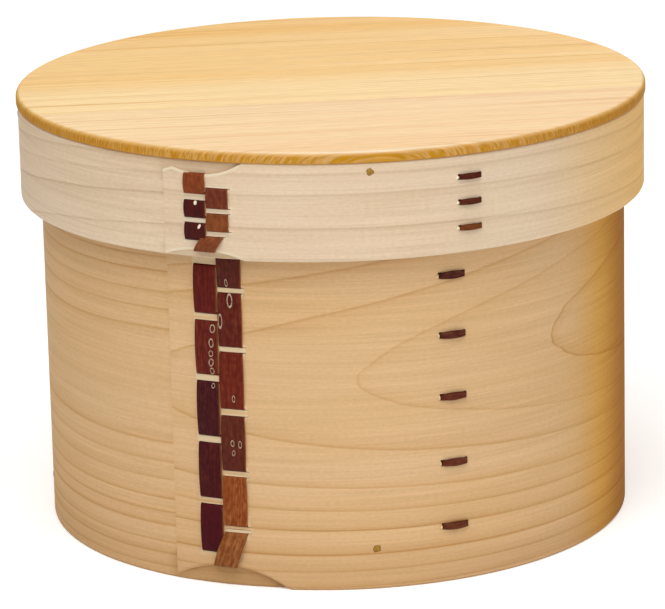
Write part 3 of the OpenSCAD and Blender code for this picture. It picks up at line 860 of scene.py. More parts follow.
@dataclass(frozen=True, kw_only=True)
class PaperFloor(Finish):
    """White paper sweep, matt, with a faint tooth so that it stays soft under the light."""

    name: str = "matt_white_paper"
    shine: float = 0.0
    rough: tuple[float, float] = (0.9, 1.0)
    white: str = "#FBFBFA"
    tooth: float = 3.0
    # Added for views only, so that the lit paper is white and the shadow stays
    glow: float = 0.36

    def look(self, tree: NodeTree) -> dict[str, object]:
        """Draws the paper's tooth and lets views see it glow.

        Args:
            tree: Tree of the material.

        Returns:
            What goes into the shader's inputs.
        """
        glow = add(tree, "ShaderNodeMath", [straight_view(tree), self.glow], operation="MULTIPLY")
        spot = add(tree, "ShaderNodeTexCoord").outputs["Object"]
        grit = add(tree, "ShaderNodeTexNoise", {"Vector": spot, "Scale": per_mm(self.tooth)[0]})
        rough = add(tree, "ShaderNodeMapRange", [grit, 0.0, 1.0, *self.rough])
        white = linear(self.white)
        return {"Base Color": white, "Roughness": rough, "Emission Color": white, "Emission Strength": glow}


# Parts of a wall

# Place along, height, width, tallness and lean in degrees of a small mark
Spot = tuple[float, float, float, float, float]


@dataclass(frozen=True)
class Slit:
    """A knife slit through a wall: its span along it and its span in height."""

    left: float
    right: float
    low: float
    high: float


@dataclass(frozen=True)
class Scoop:
    """A round bite out of an edge of a lap's outer layer."""

    centre: float
    radius: float
    depth: float

    def bite(self, along: np.ndarray) -> np.ndarray:
        """How far the edge is cut back at each place along the wall."""
        reach = np.sqrt(np.clip(self.radius**2 - (along - self.centre) ** 2, 0, None))
        return np.clip(reach - self.radius + self.depth, 0, None)


@dataclass(frozen=True)
class Log:
    """How a strip lay in the log that it was sawn from, which gives the arches on its face."""

    pith_height: float
    pith_depth: float
    # How fast the pith nears the face, and the length over which that runs out
    taper: tuple[float, float]
    # A crook that brings the pith nearer: by how much, from where and to where
    crook: tuple[float, float, float]
    # Bends of the log up and down, and in and out: how far, over which length, from where
    sway: tuple[float, float, float]
    bend: tuple[float, float, float]
    year: float = 3.8
    # Years are uneven: by how much, and how often that comes round
    uneven: tuple[float, float] = (0.12, 2.1)

    def ring(self, along: np.ndarray, depth: np.ndarray, height: np.ndarray) -> np.ndarray:
        """Which year's ring passes through each place of the strip.

        Args:
            along: Places along the strip.
            depth: Depths from its outer face.
            height: Heights above the table.

        Returns:
            Years from the pith, in fractions.
        """
        slope, run_out = self.taper
        gain, first, last = self.crook
        nearer = slope * run_out * np.tanh(along / run_out) + gain * ease((along - first) / (last - first))
        size, length, begin = self.bend
        far = self.pith_depth - nearer + depth + size * np.sin(math.tau * (along - begin) / length)
        size, length, begin = self.sway
        rise = height - self.pith_height - size * np.sin(math.tau * (along - begin) / length)
        years = np.hypot(rise, far) / self.year
        swing, pulse = self.uneven
        return years + swing * np.sin(pulse * years)

    def pace(self, along: np.ndarray, depth: np.ndarray, height: np.ndarray) -> np.ndarray:
        """How many years pass in a millimetre of the strip's face at each place.

        Args:
            along: Places along the strip.
            depth: Depths from its outer face.
            height: Heights above the table.

        Returns:
            Years a millimetre.
        """
        half = 0.5
        run = self.ring(along + half, depth, height) - self.ring(along - half, depth, height)
        rise = self.ring(along, depth, height + half) - self.ring(along, depth, height - half)
        return np.hypot(run, rise)


@dataclass(frozen=True)
class Lap:
    """The lapped ends of a strip, as places along the wall, with the thickness left at each thin end."""

    start: float
    end: float
    tip: float = 0.4
    run_out: float = 34.0


@dataclass(frozen=True)
class StripGrid:
    """How the points of a strip are numbered.

    Each column goes up the outer face, over the upper edge, down the inner face and under the lower edge.
    """

    columns: int
    rows: int
    # Points over one edge
    edge: int

    @property
    def loop(self) -> int:
        """Number of points in a column."""
        return 2 * (self.rows + self.edge)

    def inner(self, row: int) -> int:
        """Number of the inner face's point opposite a row of the outer face."""
        return 2 * self.rows + self.edge - 1 - row

    def faces(self, holes: np.ndarray) -> list[list[int]]:
        """Faces of the strip: both sides and edges, the walls of its slits, and its two ends.

        Args:
            holes: Which cells of the grid are slits.

        Returns:
            The faces.
        """
        faces = []
        loop, top = self.loop, self.rows - 1
        for i in range(self.columns - 1):
            here, there = i * loop, (i + 1) * loop
            for j in range(loop):
                after = (j + 1) % loop
                row = j if j < top else self.inner(j) - 1
                on_face = j < top or self.inner(top) <= j < self.inner(0)
                if on_face and holes[i, row]:
                    continue
                faces.append([here + j, there + j, there + after, here + after])
            for j in np.flatnonzero(holes[i]):
                a, b, c, d = j, j + 1, self.inner(j), self.inner(j + 1)
                if j == 0 or not holes[i, j - 1]:
                    faces.append([here + a, there + a, there + c, here + c])
                if j == top - 1 or not holes[i, j + 1]:
                    faces.append([here + b, there + b, there + d, here + d])
                if not holes[i - 1, j]:
                    faces.append([here + a, here + b, here + d, here + c])
                if not holes[i + 1, j]:
                    faces.append([there + a, there + b, there + d, there + c])
        for start in (0, (self.columns - 1) * loop):
            for j in range(top):
                faces.append([start + j, start + j + 1, start + self.inner(j + 1), start + self.inner(j)])
            faces.append([start + j for j in range(top, self.inner(top) + 1)])
            faces.append([start + j for j in (0, *range(loop - 1, self.inner(0) - 1, -1))])
        return faces


@dataclass(kw_only=True)
class BentWall:
    """One thin strip bent round, tapered at both ends and lapped on itself."""

    name: str
    node: str
    body: Body
    slot: str
    wall: float
    lap: Lap
    low_scoop: Scoop
    high_scoop: Scoop
    log: Log
    slits: list[Slit]
    # Heights between which the scoops leave the strip as it is
    steady: tuple[float, float]
    snip: tuple[float, float] = (0.0, 1.0)
    edge_round: float = 0.8
    # Columns are this far apart round the lacing and elsewhere, and rows this far
    step: tuple[float, float, float] = (1.6, 4.0, 3.4)
    # Wide columns begin this far before the lap's end and stop this far before the strip's end
    wide_part: tuple[float, float] = (10.0, 60.0)
    # The next line in from an edge, and the next line out from a slit
    edge_line: float = 0.35
    slit_line: float = 0.7
    bridge_lift: float = 0.22
    # A scoop deeper than this gets the painted tone of a scooped edge
    scooped: float = 0.15
    # Painted warm shade, and places with faint lines: middle, half width and strength
    side_shade: tuple[tuple[float, float, float], ...] = ()
    plain: tuple[tuple[float, float, float], ...] = ()
    # Tones from 1 to -1; those of recesses, bridges and scooped edges are painted shade and highlight
    rim_tone: float = 0.25
    foot_tone: float = -0.5
    recess_shade: float = -0.5
    bridge_highlight: float = 0.75
    painted_scoop_edge: float = 0.85
    # How far up the wood gets darker towards the foot, and how much at the very foot
    foot_darkening: tuple[float, float] = (20.0, 0.0)
    radius: float = field(init=False)
    low: float = field(init=False)
    high: float = field(init=False)

    def __post_init__(self) -> None:
        """Takes the wall's main sizes from its CAD node."""
        lowest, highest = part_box(self.node)
        self.radius = highest.x / MM
        self.low, self.high = lowest.z / MM, highest.z / MM

    @property
    def around(self) -> float:
        """Length once round the outer face."""
        return math.tau * self.radius

    def edges(self, along: np.ndarray) -> tuple[np.ndarray, np.ndarray]:
        """Where the scoops and the snipped corner leave the strip's edges.

        Args:
            along: Places along the strip.

        Returns:
            Height of the lower and of the upper edge at each place.
        """
        outer_layer = along < self.lap.end
        corner = np.clip(self.snip[0] - self.snip[1] * (along - self.lap.start), 0, None)
        cut_high = np.maximum(self.high_scoop.bite(along), corner) * outer_layer
        return self.low + self.low_scoop.bite(along) * outer_layer, self.high - cut_high

    def lines(self) -> tuple[np.ndarray, np.ndarray]:
        """Sets the lines of the strip's grid, with one on each side of every slit.

        Returns:
            Places along the strip, and heights.
        """
        fine, wide, tall = self.step
        marks = [self.lap.end, self.lap.start + self.around]
        rim = self.edge_round + self.edge_line
        heights = [self.low + rim, self.high - rim]
        for slit in self.slits:
            edges = (slit.left - self.slit_line, slit.left, slit.right, slit.right + self.slit_line)
            marks += [edge + turn for edge in edges for turn in (0.0, self.around)]
            heights += [slit.low, slit.high]
        first, last = self.lap.start, self.lap.end + self.around
        laced, tail = self.lap.end - self.wide_part[0], last - self.wide_part[1]
        base = np.concatenate([
            np.arange(first, laced, fine), np.arange(laced, tail, wide), np.arange(tail, last, fine * 2)
        ])
        low, high = self.low + self.edge_round, self.high - self.edge_round
        rows = np.arange(low, high, tall)
        return self.merged((first, last), base, marks), self.merged((low, high), rows, heights)

    @staticmethod
    def merged(span: tuple[float, float], plain: np.ndarray, kept: list[float]) -> np.ndarray:
        """Joins evenly set lines with lines that have to be there.

        Args:
            span: First and last line.
            plain: Evenly set lines, dropped where another is close.
            kept: Lines that have to be there.

        Returns:
            All lines in order.
        """
        close, same = 0.5, 0.02
        fixed = np.unique(np.round([value for value in (*span, *kept) if span[0] <= value <= span[1]], 3))
        fixed = fixed[np.concatenate([[True], np.diff(fixed) > same])]
        gaps = np.abs(plain[:, None] - fixed[None, :]).min(axis=1)
        return np.sort(np.concatenate([fixed, plain[gaps > close]]))

    def settle(self, along: np.ndarray, rows: np.ndarray) -> np.ndarray:
        """Heights of the grid, squeezed where a scoop cuts into the edge.

        Args:
            along: Places of the columns.
            rows: Heights of the rows on an uncut strip.

        Returns:
            One height for each column and row.
        """
        low, high = (edge[:, None] for edge in self.edges(along))
        floor, ceiling = self.steady
        heights = np.broadcast_to(rows, (len(along), len(rows)))
        below = floor - (floor - heights) * (floor - low) / (floor - self.low)
        above = ceiling + (heights - ceiling) * (high - ceiling) / (self.high - ceiling)
        return np.where(heights < floor, below, np.where(heights > ceiling, above, heights))

    def in_slit(
        self, along: np.ndarray, rows: np.ndarray, grow: float = 0.0, level_only: bool = False
    ) -> np.ndarray:
        """Which pairs of a place along the strip and a height lie in a slit, in either layer.

        Args:
            along: Places along the strip.
            rows: Heights.
            grow: Extra height that counts as slit.
            level_only: Whether upright slits are left out.

        Returns:
            True or false for each pair.
        """
        touch = 0.01
        found = np.zeros((len(along), len(rows)), bool)
        for slit in self.slits:
            if level_only and slit.high - slit.low > slit.right - slit.left:
                continue
            tall = (rows > slit.low - grow) & (rows < slit.high + grow)
            for turn in (0.0, self.around):
                wide = (along > slit.left + turn - touch) & (along < slit.right + turn + touch)
                found |= wide[:, None] & tall[None, :]
        return found

    def seed(self) -> Mesh:
        """Builds the flat strip with its slits, scoops and rounded edges, and notes rings, tones and lifts.

        Returns:
            The strip, as a mesh that is still to be tapered and bent.
        """
        along, rows = self.lines()
        heights = self.settle(along, rows)
        holes = self.in_slit((along[1:] + along[:-1]) / 2, (rows[1:] + rows[:-1]) / 2)
        arc = np.radians(EDGE_ARC)
        sink, swell = (1 - np.cos(arc)) * self.edge_round, np.sin(arc) * self.edge_round
        inset = np.concatenate([sink, self.wall - sink[::-1]])
        swell = np.concatenate([swell, swell[::-1]])
        upper, lower = heights[:, -1:] + swell, heights[:, :1] - swell
        loop_z = np.concatenate([heights, upper, heights[:, ::-1], lower], axis=1)
        depths = np.concatenate([np.zeros(len(rows)), inset, np.full(len(rows), self.wall), inset[::-1]])
        loop_x, loop_y = np.meshgrid(along, depths, indexing="ij")
        points = np.stack([loop_x, loop_y, loop_z], axis=2).reshape(-1, 3)
        grid = StripGrid(len(along), len(rows), len(inset))
        mesh = write_mesh(self.name, points, grid.faces(holes))
        tone, lift = self.moods(along, rows, loop_x, loop_z, grid)
        put(mesh, "ring", self.log.ring(loop_x, loop_y, loop_z).ravel())
        put(mesh, "pace", self.log.pace(loop_x, loop_y, loop_z).ravel())
        put(mesh, "tone", tone.ravel())
        put(mesh, "lift", lift.ravel() * MM)
        for label, places in (("side_shade", self.side_shade), ("plain", self.plain)):
            fades = [strength * ease(1 - np.abs(loop_x - at) / reach) for at, reach, strength in places]
            put(mesh, label, np.minimum(sum(fades, np.zeros(loop_x.shape)), 1).ravel())
        return mesh

    def moods(
        self, along: np.ndarray, rows: np.ndarray, loop_x: np.ndarray, loop_z: np.ndarray, grid: StripGrid
    ) -> tuple[np.ndarray, np.ndarray]:
        """How cut or handled each part looks, with painted highlight and shade, and how far it stands proud.

        Args:
            along: Places of the columns.
            rows: Heights of the rows.
            loop_x: Place along the strip of each point.
            loop_z: Height of each point.
            grid: Numbering of the points.

        Returns:
            Tones from 1 to -1, and lifts in millimetres.
        """
        tall, inner_top, inner_foot = grid.rows, grid.inner(grid.rows - 1), grid.inner(0)
        reach, darkest = self.foot_darkening
        tone, lift = darkest * ease(1 - (loop_z - self.low) / reach), np.zeros(loop_x.shape)
        tone[:, tall:inner_top] = self.rim_tone
        tone[:, inner_foot + 1 :] = self.foot_tone
        # Painted light on the lap's scooped edges: a highlight for a tone above 0, shade below 0
        outer_layer = along < self.lap.end
        scooped_high = (self.high_scoop.bite(along) > self.scooped) & outer_layer
        scooped_low = (self.low_scoop.bite(along) > self.scooped) & outer_layer
        tone[scooped_high, tall - 1 : inner_top + 1] = self.painted_scoop_edge
        tone[scooped_low, inner_foot:] = self.painted_scoop_edge
        tone[scooped_low, 0] = self.painted_scoop_edge
        # Painted shade darkens the inner layer where a scoop lays it open
        under = loop_x > self.lap.start + self.around
        open_edge = (loop_z < self.steady[0]) | (loop_z > self.steady[1])
        tone = np.where(under & open_edge, self.recess_shade, tone)
        # A bridge of wood between two slits swells a little, and its pale tone is a painted highlight
        bridge = self.in_slit(along, rows, grow=0.01, level_only=True)
        outside = np.zeros(loop_x.shape, bool)
        outside[:, :tall] = bridge & (along < self.lap.end)[:, None]
        tone[outside], lift[outside] = self.bridge_highlight, self.bridge_lift
        return tone, lift

    def build(self, tree: NodeTree, finish: Material) -> Object:
        """Bends the strip round and ties it to the frame.

        Args:
            tree: Rule of a bent wall.
            finish: Its wood.

        Returns:
            The finished wall.
        """
        inputs = {
            "Radius": self.radius * MM, "Wall": self.wall * MM, "Lap start": self.lap.start * MM,
            "Lap end": self.lap.end * MM, "Tip": self.lap.tip * MM, "Ease": self.lap.run_out * MM,
            "Material": finish,
        }
        return fasten(grow(self.name, self.seed(), tree, inputs), self.body, self.slot, self.node)


@dataclass(frozen=True)
class Run:
    """One stitch of a strap: where its outside run starts and ends, and its place across at both ends."""

    start: float
    end: float
    shift: tuple[float, float]
    tone: str
    scuff: float = 0.0
    lift: float = 0.0
    widen: float = 0.0


@dataclass(kw_only=True)
class Strap:
    """A strap of bark that runs outside a wall, dives through slits and crosses over on the inside.

    Runs are measured the way that the strap goes on the outside: downwards in a lacing, to the right in a
    tacking. An end hooks over a scooped edge if hook is set, and otherwise lies loose inside the wall.
    """

    name: str
    node: str
    body: Body
    wall: float
    radius: float
    width: float
    across: Across
    runs: list[Run]
    hook: float = 0.0
    loose: float = 5.0
    thick: float = 0.8
    fit: float = 0.06
    fold: float = 0.5
    bow: float = 0.18
    # Extra share of the width at a run's ends, and what its middle adds to that
    belly: tuple[float, float] = (-0.03, 0.045)
    # Extra share of the width where a narrow strap lies flat on its way over inside
    spread: float = 0.0
    # How much longer a slit is than the strap is wide, at each end
    slack: float = 0.1
    # How far the knife ran on, past a level strap's right edge or on the near side of an upright one
    overcut: float = 0.0
    # Height of the thin cut that it left beside a level strap
    whisker: float = 0.28
    # Rounding of its edges as a share of its thickness
    corner: float = 0.28

    def slits(self) -> list[Slit]:
        """Cuts the slits that the strap dives through.

        Returns:
            The slits, with the thin cuts beside them.
        """
        found = []
        half, open_by = self.width / 2, self.thick / 2 + self.fit
        for run in self.runs:
            start = (1, run.start, run.shift[0], run is self.runs[0])
            end = (-1, run.end, run.shift[1], run is self.runs[-1])
            for inward, at, shift, strap_ends in (start, end):
                if self.hook and strap_ends:
                    continue
                middle = at + inward * self.thick / 2
                near_edge, far_edge = shift - half - self.slack, shift + half + self.slack
                if self.across is Across.LEVEL:
                    low, high = -middle - open_by, -middle + open_by
                    found.append(Slit(near_edge, far_edge, low, high))
                    cut = (high - self.whisker, high) if inward > 0 else (low, low + self.whisker)
                    found.append(Slit(far_edge, shift + half + self.overcut, *cut))
                else:
                    near = self.overcut if inward > 0 else 0.0
                    found.append(Slit(middle - open_by - near, middle + open_by, near_edge, far_edge))
        return found

    def stations(self) -> np.ndarray:
        """Follows the strap from end to end.

        Returns:
            Points along it: run, depth, shift, flare, scuff, then the linear colour.
        """
        outside, inside = -self.fit - self.thick / 2, self.wall + self.fit + self.thick / 2
        rows, corners = [], []
        for run, follow in zip(self.runs, (*self.runs[1:], None)):
            first, last = run is self.runs[0], run is self.runs[-1]
            start, end = run.start + self.thick / 2, run.end - self.thick / 2
            (near, far), base = run.shift, run.widen + self.belly[0]
            # Each point is a place along the run, depth, shift, flare, and whether the strap folds there
            if first and self.hook:
                points = [(start, self.hook, near, base, False)]
            elif first:
                points = [(start + self.loose, inside, near, base, False), (start, inside, near, base, True)]
            else:
                points = [(start, inside, near, base, True)]
            points.append((start, outside, near, base, True))
            for part in np.linspace(0.1, 0.9, 7):
                bulge = math.sin(math.pi * part)
                rise = run.lift * ease(part / 0.5) + self.bow * bulge
                shift, flare = near + part * (far - near), base + self.belly[1] * bulge
                points.append((start + part * (end - start), outside - rise, shift, flare, False))
            points.append((end, outside - run.lift, far, base, True))
            hooks_in = last and self.hook
            points.append((end, self.hook, far, base, False) if hooks_in else (end, inside, far, base, True))
            if last and not self.hook:
                points.append((end - self.loose, inside, far, base, False))
            if follow and self.spread:
                over, up = follow.start + self.thick / 2 - end, follow.shift[0] - far
                for part in np.linspace(0.15, 0.85, 8):
                    flare = base + self.spread * ease(min(part, 1 - part) / 0.3)
                    points.append((end + part * over, inside, far + part * up, flare, False))
            rows += [(*point[:4], run.scuff, *linear(run.tone)[:3]) for point in points]
            corners += [point[4] for point in points]
        return self.folded(np.array(rows), corners)

    def folded(self, rows: np.ndarray, corners: list[bool]) -> np.ndarray:
        """Rounds the strap's folds.

        Args:
            rows: Points along the strap.
            corners: Which of them are folds.

        Returns:
            The points, with a short curve at each fold.
        """
        smooth = []
        for i, row in enumerate(rows):
            if not corners[i]:
                smooth.append(row)
                continue
            before, after = (
                row + (other - row) * min(self.fold / np.linalg.norm((other - row)[:2]), 0.45)
                for other in (rows[i - 1], rows[i + 1])
            )
            for t in np.linspace(0, 1, 6):
                smooth.append((1 - t) ** 2 * before + 2 * t * (1 - t) * row + t * t * after)
        return np.array(smooth)

    def build(self, tree: NodeTree, finish: Material) -> Object:
        """Runs the strap along its line and ties it to the frame.

        Args:
            tree: Rule of a strap.
            finish: Its bark.

        Returns:
            The finished strap.
        """
        points = self.stations()
        run, depth, shift, flare, scuff = points[:, :5].T
        level = self.across is Across.LEVEL
        zero = np.zeros(len(points))
        line = np.stack([zero, depth, -run] if level else [run, depth, zero], axis=1)
        mesh = write_mesh(self.name, line, [[i, i + 1] for i in range(len(points) - 1)])
        steps = np.linalg.norm(np.diff(points[:, :3], axis=0), axis=1)
        put(mesh, "along", np.concatenate([[0], np.cumsum(steps)]) * MM)
        put(mesh, "shift", shift * MM)
        put(mesh, "flare", flare)
        put(mesh, "scuff", scuff)
        put(mesh, "tone", np.column_stack([points[:, 5:8], np.ones(len(points))]))
        inputs = {
            "Radius": self.radius * MM, "Width": self.width * MM, "Thickness": self.thick * MM,
            "Corner": self.corner * self.thick * MM, "Across": self.across.value, "Material": finish,
        }
        return fasten(grow(self.name, mesh, tree, inputs), self.body, "bark", self.node)


@dataclass(kw_only=True)
class Marks:
    """Small marks of one kind, set at given spots of a wall."""

    name: str
    kind: Mark
    body: Body
    slot: str
    radius: float
    spots: tuple[Spot, ...]
    # How far out their middles sit, and how thick they are
    proud: float
    deep: float

    def build(self, trees: dict[Mark, NodeTree], finish: Material) -> Object:
        """Sets the marks on the wall and ties them to the frame.

        Args:
            trees: Rule of each kind of mark.
            finish: Their material.

        Returns:
            The finished marks, as one piece.
        """
        spots = np.array(self.spots)
        points = np.column_stack([spots[:, 0], np.full(len(spots), -self.proud), spots[:, 1]])
        mesh = write_mesh(self.name, points, [])
        put(mesh, "wide", spots[:, 2])
        put(mesh, "deep", np.full(len(spots), self.deep))
        put(mesh, "tall", spots[:, 3])
        put(mesh, "turn", np.radians(spots[:, 4]))
        inputs = {"Radius": self.radius * MM, "Material": finish}
        return fasten(grow(self.name, mesh, trees[self.kind], inputs), self.body, self.slot)


@dataclass(kw_only=True)
class PegRing:
    """Pegs driven through a wall into the plate inside it, evenly round."""

    name: str
    node: str
    body: Body
    radius: float
    height: float
    first: float = 11.5
    count: int = 4
    thick: float = 2.6
    length: float = 18.0
    proud: float = 0.2
    dome: float = 0.17
    seed: int

    def build(self, tree: NodeTree, finish: Material) -> Object:
        """Drives the pegs and ties them to the frame.

        Args:
            tree: Rule of a ring of pegs.
            finish: Their bamboo.

        Returns:
            The finished pegs, as one piece.
        """
        inputs = {
            "Radius": self.radius * MM, "Count": self.count,
            "First": (self.first * MM, (self.length / 2 - self.proud) * MM, self.height * MM),
            "Step": (math.tau * self.radius / self.count * MM, 0.0, 0.0), "Peg radius": self.thick / 2 * MM,
            "Length": self.length * MM, "Dome": self.dome * MM, "Seed": self.seed, "Material": finish,
        }
        mesh = write_mesh(self.name, np.zeros((0, 3)), [])
        return fasten(grow(self.name, mesh, tree, inputs), self.body, "peg_wood", self.node)


@dataclass(kw_only=True)
class Plate:
    """A round plate of two boards joined edge to edge.

    Its outline goes from the underside out and up to the top, as a list of radius, height and how much of a
    rim each level is.
    """

    name: str
    body: Body
    slot: str
    outline: list[tuple[float, float, float]]
    joint: float
    turn: float
    # A flat cut on the rim that clears a strap: direction and distance from the axis
    relief: tuple[float, float] | None = None
    glue: float = 0.06
    vee: float = 0.22
    round_count: int = 220
    joint_count: int = 30

    def level(self, radius: float, side: Side, gap: float) -> np.ndarray:
        """Outline of one board at one radius.

        Args:
            radius: Radius of the rim.
            side: Which board.
            gap: Distance from the joint's line.

        Returns:
            Points round the board, rim first.
        """
        away = 1 if side is Side.BACK else -1
        line = self.joint + away * gap
        begin = math.asin(line / radius)
        end = math.pi - begin if side is Side.BACK else -math.pi - begin
        angles = np.linspace(begin, end, self.round_count)
        rim = radius * np.stack([np.cos(angles), np.sin(angles)], axis=1)
        shares = np.linspace(0, 1, self.joint_count + 2)[1:-1, None]
        points = np.concatenate([rim, rim[-1] + shares * (rim[0] - rim[-1])])
        tilt = math.radians(self.turn)
        points = points @ np.array([[math.cos(tilt), math.sin(tilt)], [-math.sin(tilt), math.cos(tilt)]])
        if self.relief:
            angle, far = math.radians(self.relief[0]), self.relief[1]
            normal = np.array([math.sin(angle), -math.cos(angle)])
            points = points - np.clip(points @ normal - far, 0, None)[:, None] * normal
        return points

    def board(self, side: Side, node: str, finish: Material) -> Object:
        """Builds one board and ties it to the frame.

        Args:
            side: Which board.
            node: CAD node that it stands for.
            finish: Its wood.

        Returns:
            The finished board.
        """
        rings, rims, ends = [], [], []
        top = max(height for _, height, _ in self.outline)
        for radius, height, rim in self.outline:
            gap = self.vee if height > top - 0.01 else self.glue / 2
            flat = self.level(radius, side, gap)
            rings.append(np.column_stack([flat, np.full(len(flat), height)]))
            on_rim = np.arange(len(flat)) < self.round_count
            grain = np.array([math.cos(math.radians(self.turn)), math.sin(math.radians(self.turn))])
            rims.append(rim * on_rim)
            ends.append(on_rim * np.abs(flat @ grain) / radius)
        size, levels = len(rings[0]), len(rings)
        faces = [list(range(size)), [(levels - 1) * size + i for i in range(size)]]
        for level in range(levels - 1):
            for i in range(size):
                after = (i + 1) % size
                low, high = level * size, (level + 1) * size
                faces.append([low + i, low + after, high + after, high + i])
        mesh = write_mesh(node, np.concatenate(rings), faces)
        put(mesh, "rim", np.concatenate(rims))
        put(mesh, "end_grain", np.concatenate(ends))
        mesh.materials.append(finish)
        piece = place(f"{self.name}_{side.value}", mesh)
        mesh.shade_smooth()
        mesh.set_sharp_from_angle(angle=CRISP_ANGLE)
        return fasten(piece, self.body, self.slot, node)


# The object's two sub-assemblies

# Top, foot, colour and scuffing of a stitch
Stitch = tuple[float, float, str, float]


@dataclass(kw_only=True)
class Workshop:
    """Shape rules and finishes that both sub-assemblies share."""

    strip: NodeTree
    strap: NodeTree
    pegs: NodeTree
    marks: dict[Mark, NodeTree]
    bark: Material
    tack_bark: Material
    bamboo: Material
    scar: Material
    fleck: Material

    @classmethod
    def open(cls) -> "Workshop":
        """Builds the shared trees and finishes once.

        Returns:
            The workshop.
        """
        wrap = wrap_tree()
        # The rolled bark's dark edges are painted shade on the sides of the narrow strap
        rolled = CherryBark(
            name="rolled_cherry_bark", edge="#320B06", edge_from=0.35, worn="#A87050", streak=(7.0, 0.3)
        )
        return cls(
            strip=strip_tree(wrap), strap=strap_tree(wrap), pegs=pegs_tree(wrap),
            marks={mark: marks_tree(wrap, mark) for mark in Mark}, bark=CherryBark().material(),
            tack_bark=rolled.material(), bamboo=BambooPeg().material(),
            scar=CorkScar(name="cork_ring_scar", pale="#D0B89C", brown="#8C6852").material(),
            fleck=CorkScar(name="torn_pale_wood", pale="#FFF4DC", brown="#F3DDB6").material(),
        )


@dataclass(kw_only=True)
class LacedPart:
    """What the tub and the lid share: a bent wall sewn with bark and pegged to a plate of two boards."""

    body: Body
    # What the names of its straps and marks begin with, and those of its boards, pegs and dowels
    label: str
    plate_label: str
    node: str
    slot: str
    wood: BentSoftwood
    wall: float
    strap_width: float
    left_row: float
    right_row: float
    # Extra share of the right row's width
    right_widen: float = 0.0
    # Where the last stitch starts and ends across the seam, and how far the stitch under it lifts its end
    closing: tuple[float, float]
    closing_lift: float = 0.86
    hook_depth: float
    lace_overcut: float
    lace_bow: float = 0.18
    # Stitches from the top down
    left: tuple[Stitch, ...]
    right: tuple[Stitch, ...]
    tack_at: tuple[float, float]
    tack_width: float
    tack_slack: float
    tack_overcut: float
    tack_bow: float
    tack_belly: tuple[float, float]
    tack_spread: float
    tack_scuff: float
    # Height and colour of each tack
    tacks: tuple[tuple[float, str], ...]
    # Place, width and tallness of the fleck that the knife tore up at a tack
    fleck_at: tuple[float, float]
    fleck_size: tuple[float, float]
    peg_seed: int

    @property
    def radius(self) -> float:
        """Outer radius of the wall."""
        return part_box(self.node)[1].x / MM

    def lacing(self) -> Strap:
        """Sews the outer end of the lap in two rows by turns.

        Returns:
            The broad strap.
        """
        runs = []
        for left, right in zip(self.left, self.right):
            top, foot, tone, scuff = left
            runs.append(Run(-top, -foot, (self.left_row, self.left_row), tone, scuff))
            top, foot, tone, scuff = right
            last = right is self.right[-1]
            shift = self.closing if last else (self.right_row, self.right_row)
            lift = self.closing_lift if last else 0.0
            runs.append(Run(-top, -foot, shift, tone, scuff, lift, self.right_widen))
        return Strap(
            name=f"{self.label}_lacing_bark", node=f"{self.label}_lacing", body=self.body, wall=self.wall,
            radius=self.radius, width=self.strap_width, across=Across.LEVEL, runs=runs,
            hook=self.hook_depth, overcut=self.lace_overcut, bow=self.lace_bow,
        )

    def tacking(self) -> Strap:
        """Tacks down the inner end of the lap.

        Returns:
            The narrow strap.
        """
        return Strap(
            name=f"{self.label}_tacking_bark", node=f"{self.label}_tacking", body=self.body, wall=self.wall,
            radius=self.radius, width=self.tack_width, across=Across.UPRIGHT,
            runs=[Run(*self.tack_at, (height, height), tone, self.tack_scuff) for height, tone in self.tacks],
            slack=self.tack_slack, overcut=self.tack_overcut, bow=self.tack_bow, belly=self.tack_belly,
            spread=self.tack_spread,
        )

    def strip(self, slits: list[Slit]) -> BentWall:
        """Shapes the wall with these slits, in each sub-assembly's own way."""
        raise NotImplementedError

    def plate(self) -> tuple[Plate, dict[Side, Material]]:
        """Shapes the plate and gives the wood of each board, in each sub-assembly's own way."""
        raise NotImplementedError

    def marks(self, shop: Workshop) -> tuple[Marks, Material, Material]:
        """Places marks on the bark and gives their finish and the flecks', in each sub-assembly's own way."""
        raise NotImplementedError

    def build(self, shop: Workshop) -> None:
        """Builds and dresses the sub-assembly.

        Args:
            shop: Shared shape rules and finishes.
        """
        lacing, tacking = self.lacing(), self.tacking()
        self.strip(lacing.slits() + tacking.slits()).build(shop.strip, self.wood.material())
        lacing.build(shop.strap, shop.bark)
        tacking.build(shop.strap, shop.tack_bark)
        plate, woods = self.plate()
        for side in Side:
            plate.board(side, f"{self.plate_label}_board_{side.value}", woods[side])
        pegs = f"{self.plate_label}_pegs"
        PegRing(
            name=f"{self.plate_label}_peg_ends", node=pegs, body=self.body, radius=self.radius,
            height=sum(corner.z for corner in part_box(pegs)) / 2 / MM, seed=self.peg_seed,
        ).build(shop.pegs, shop.bamboo)
        marks, bark_finish, wood_finish = self.marks(shop)
        marks.build(shop.marks, bark_finish)
        (aside, up), size = self.fleck_at, self.fleck_size
        Marks(
            name=f"{self.label}_slit_flecks", kind=Mark.CHIP, body=self.body, slot=self.slot,
            radius=self.radius,
            spots=tuple((self.tack_at[0] + aside, height + up, *size, 0.0) for height, _ in self.tacks),
            proud=0.3, deep=0.8,
        ).build(shop.marks, wood_finish)
        # The dowels keep their CAD shape inside the boards
        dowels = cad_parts[f"{self.plate_label}_dowels"].data.materials
        dowels.clear()
        dowels.append(shop.bamboo)


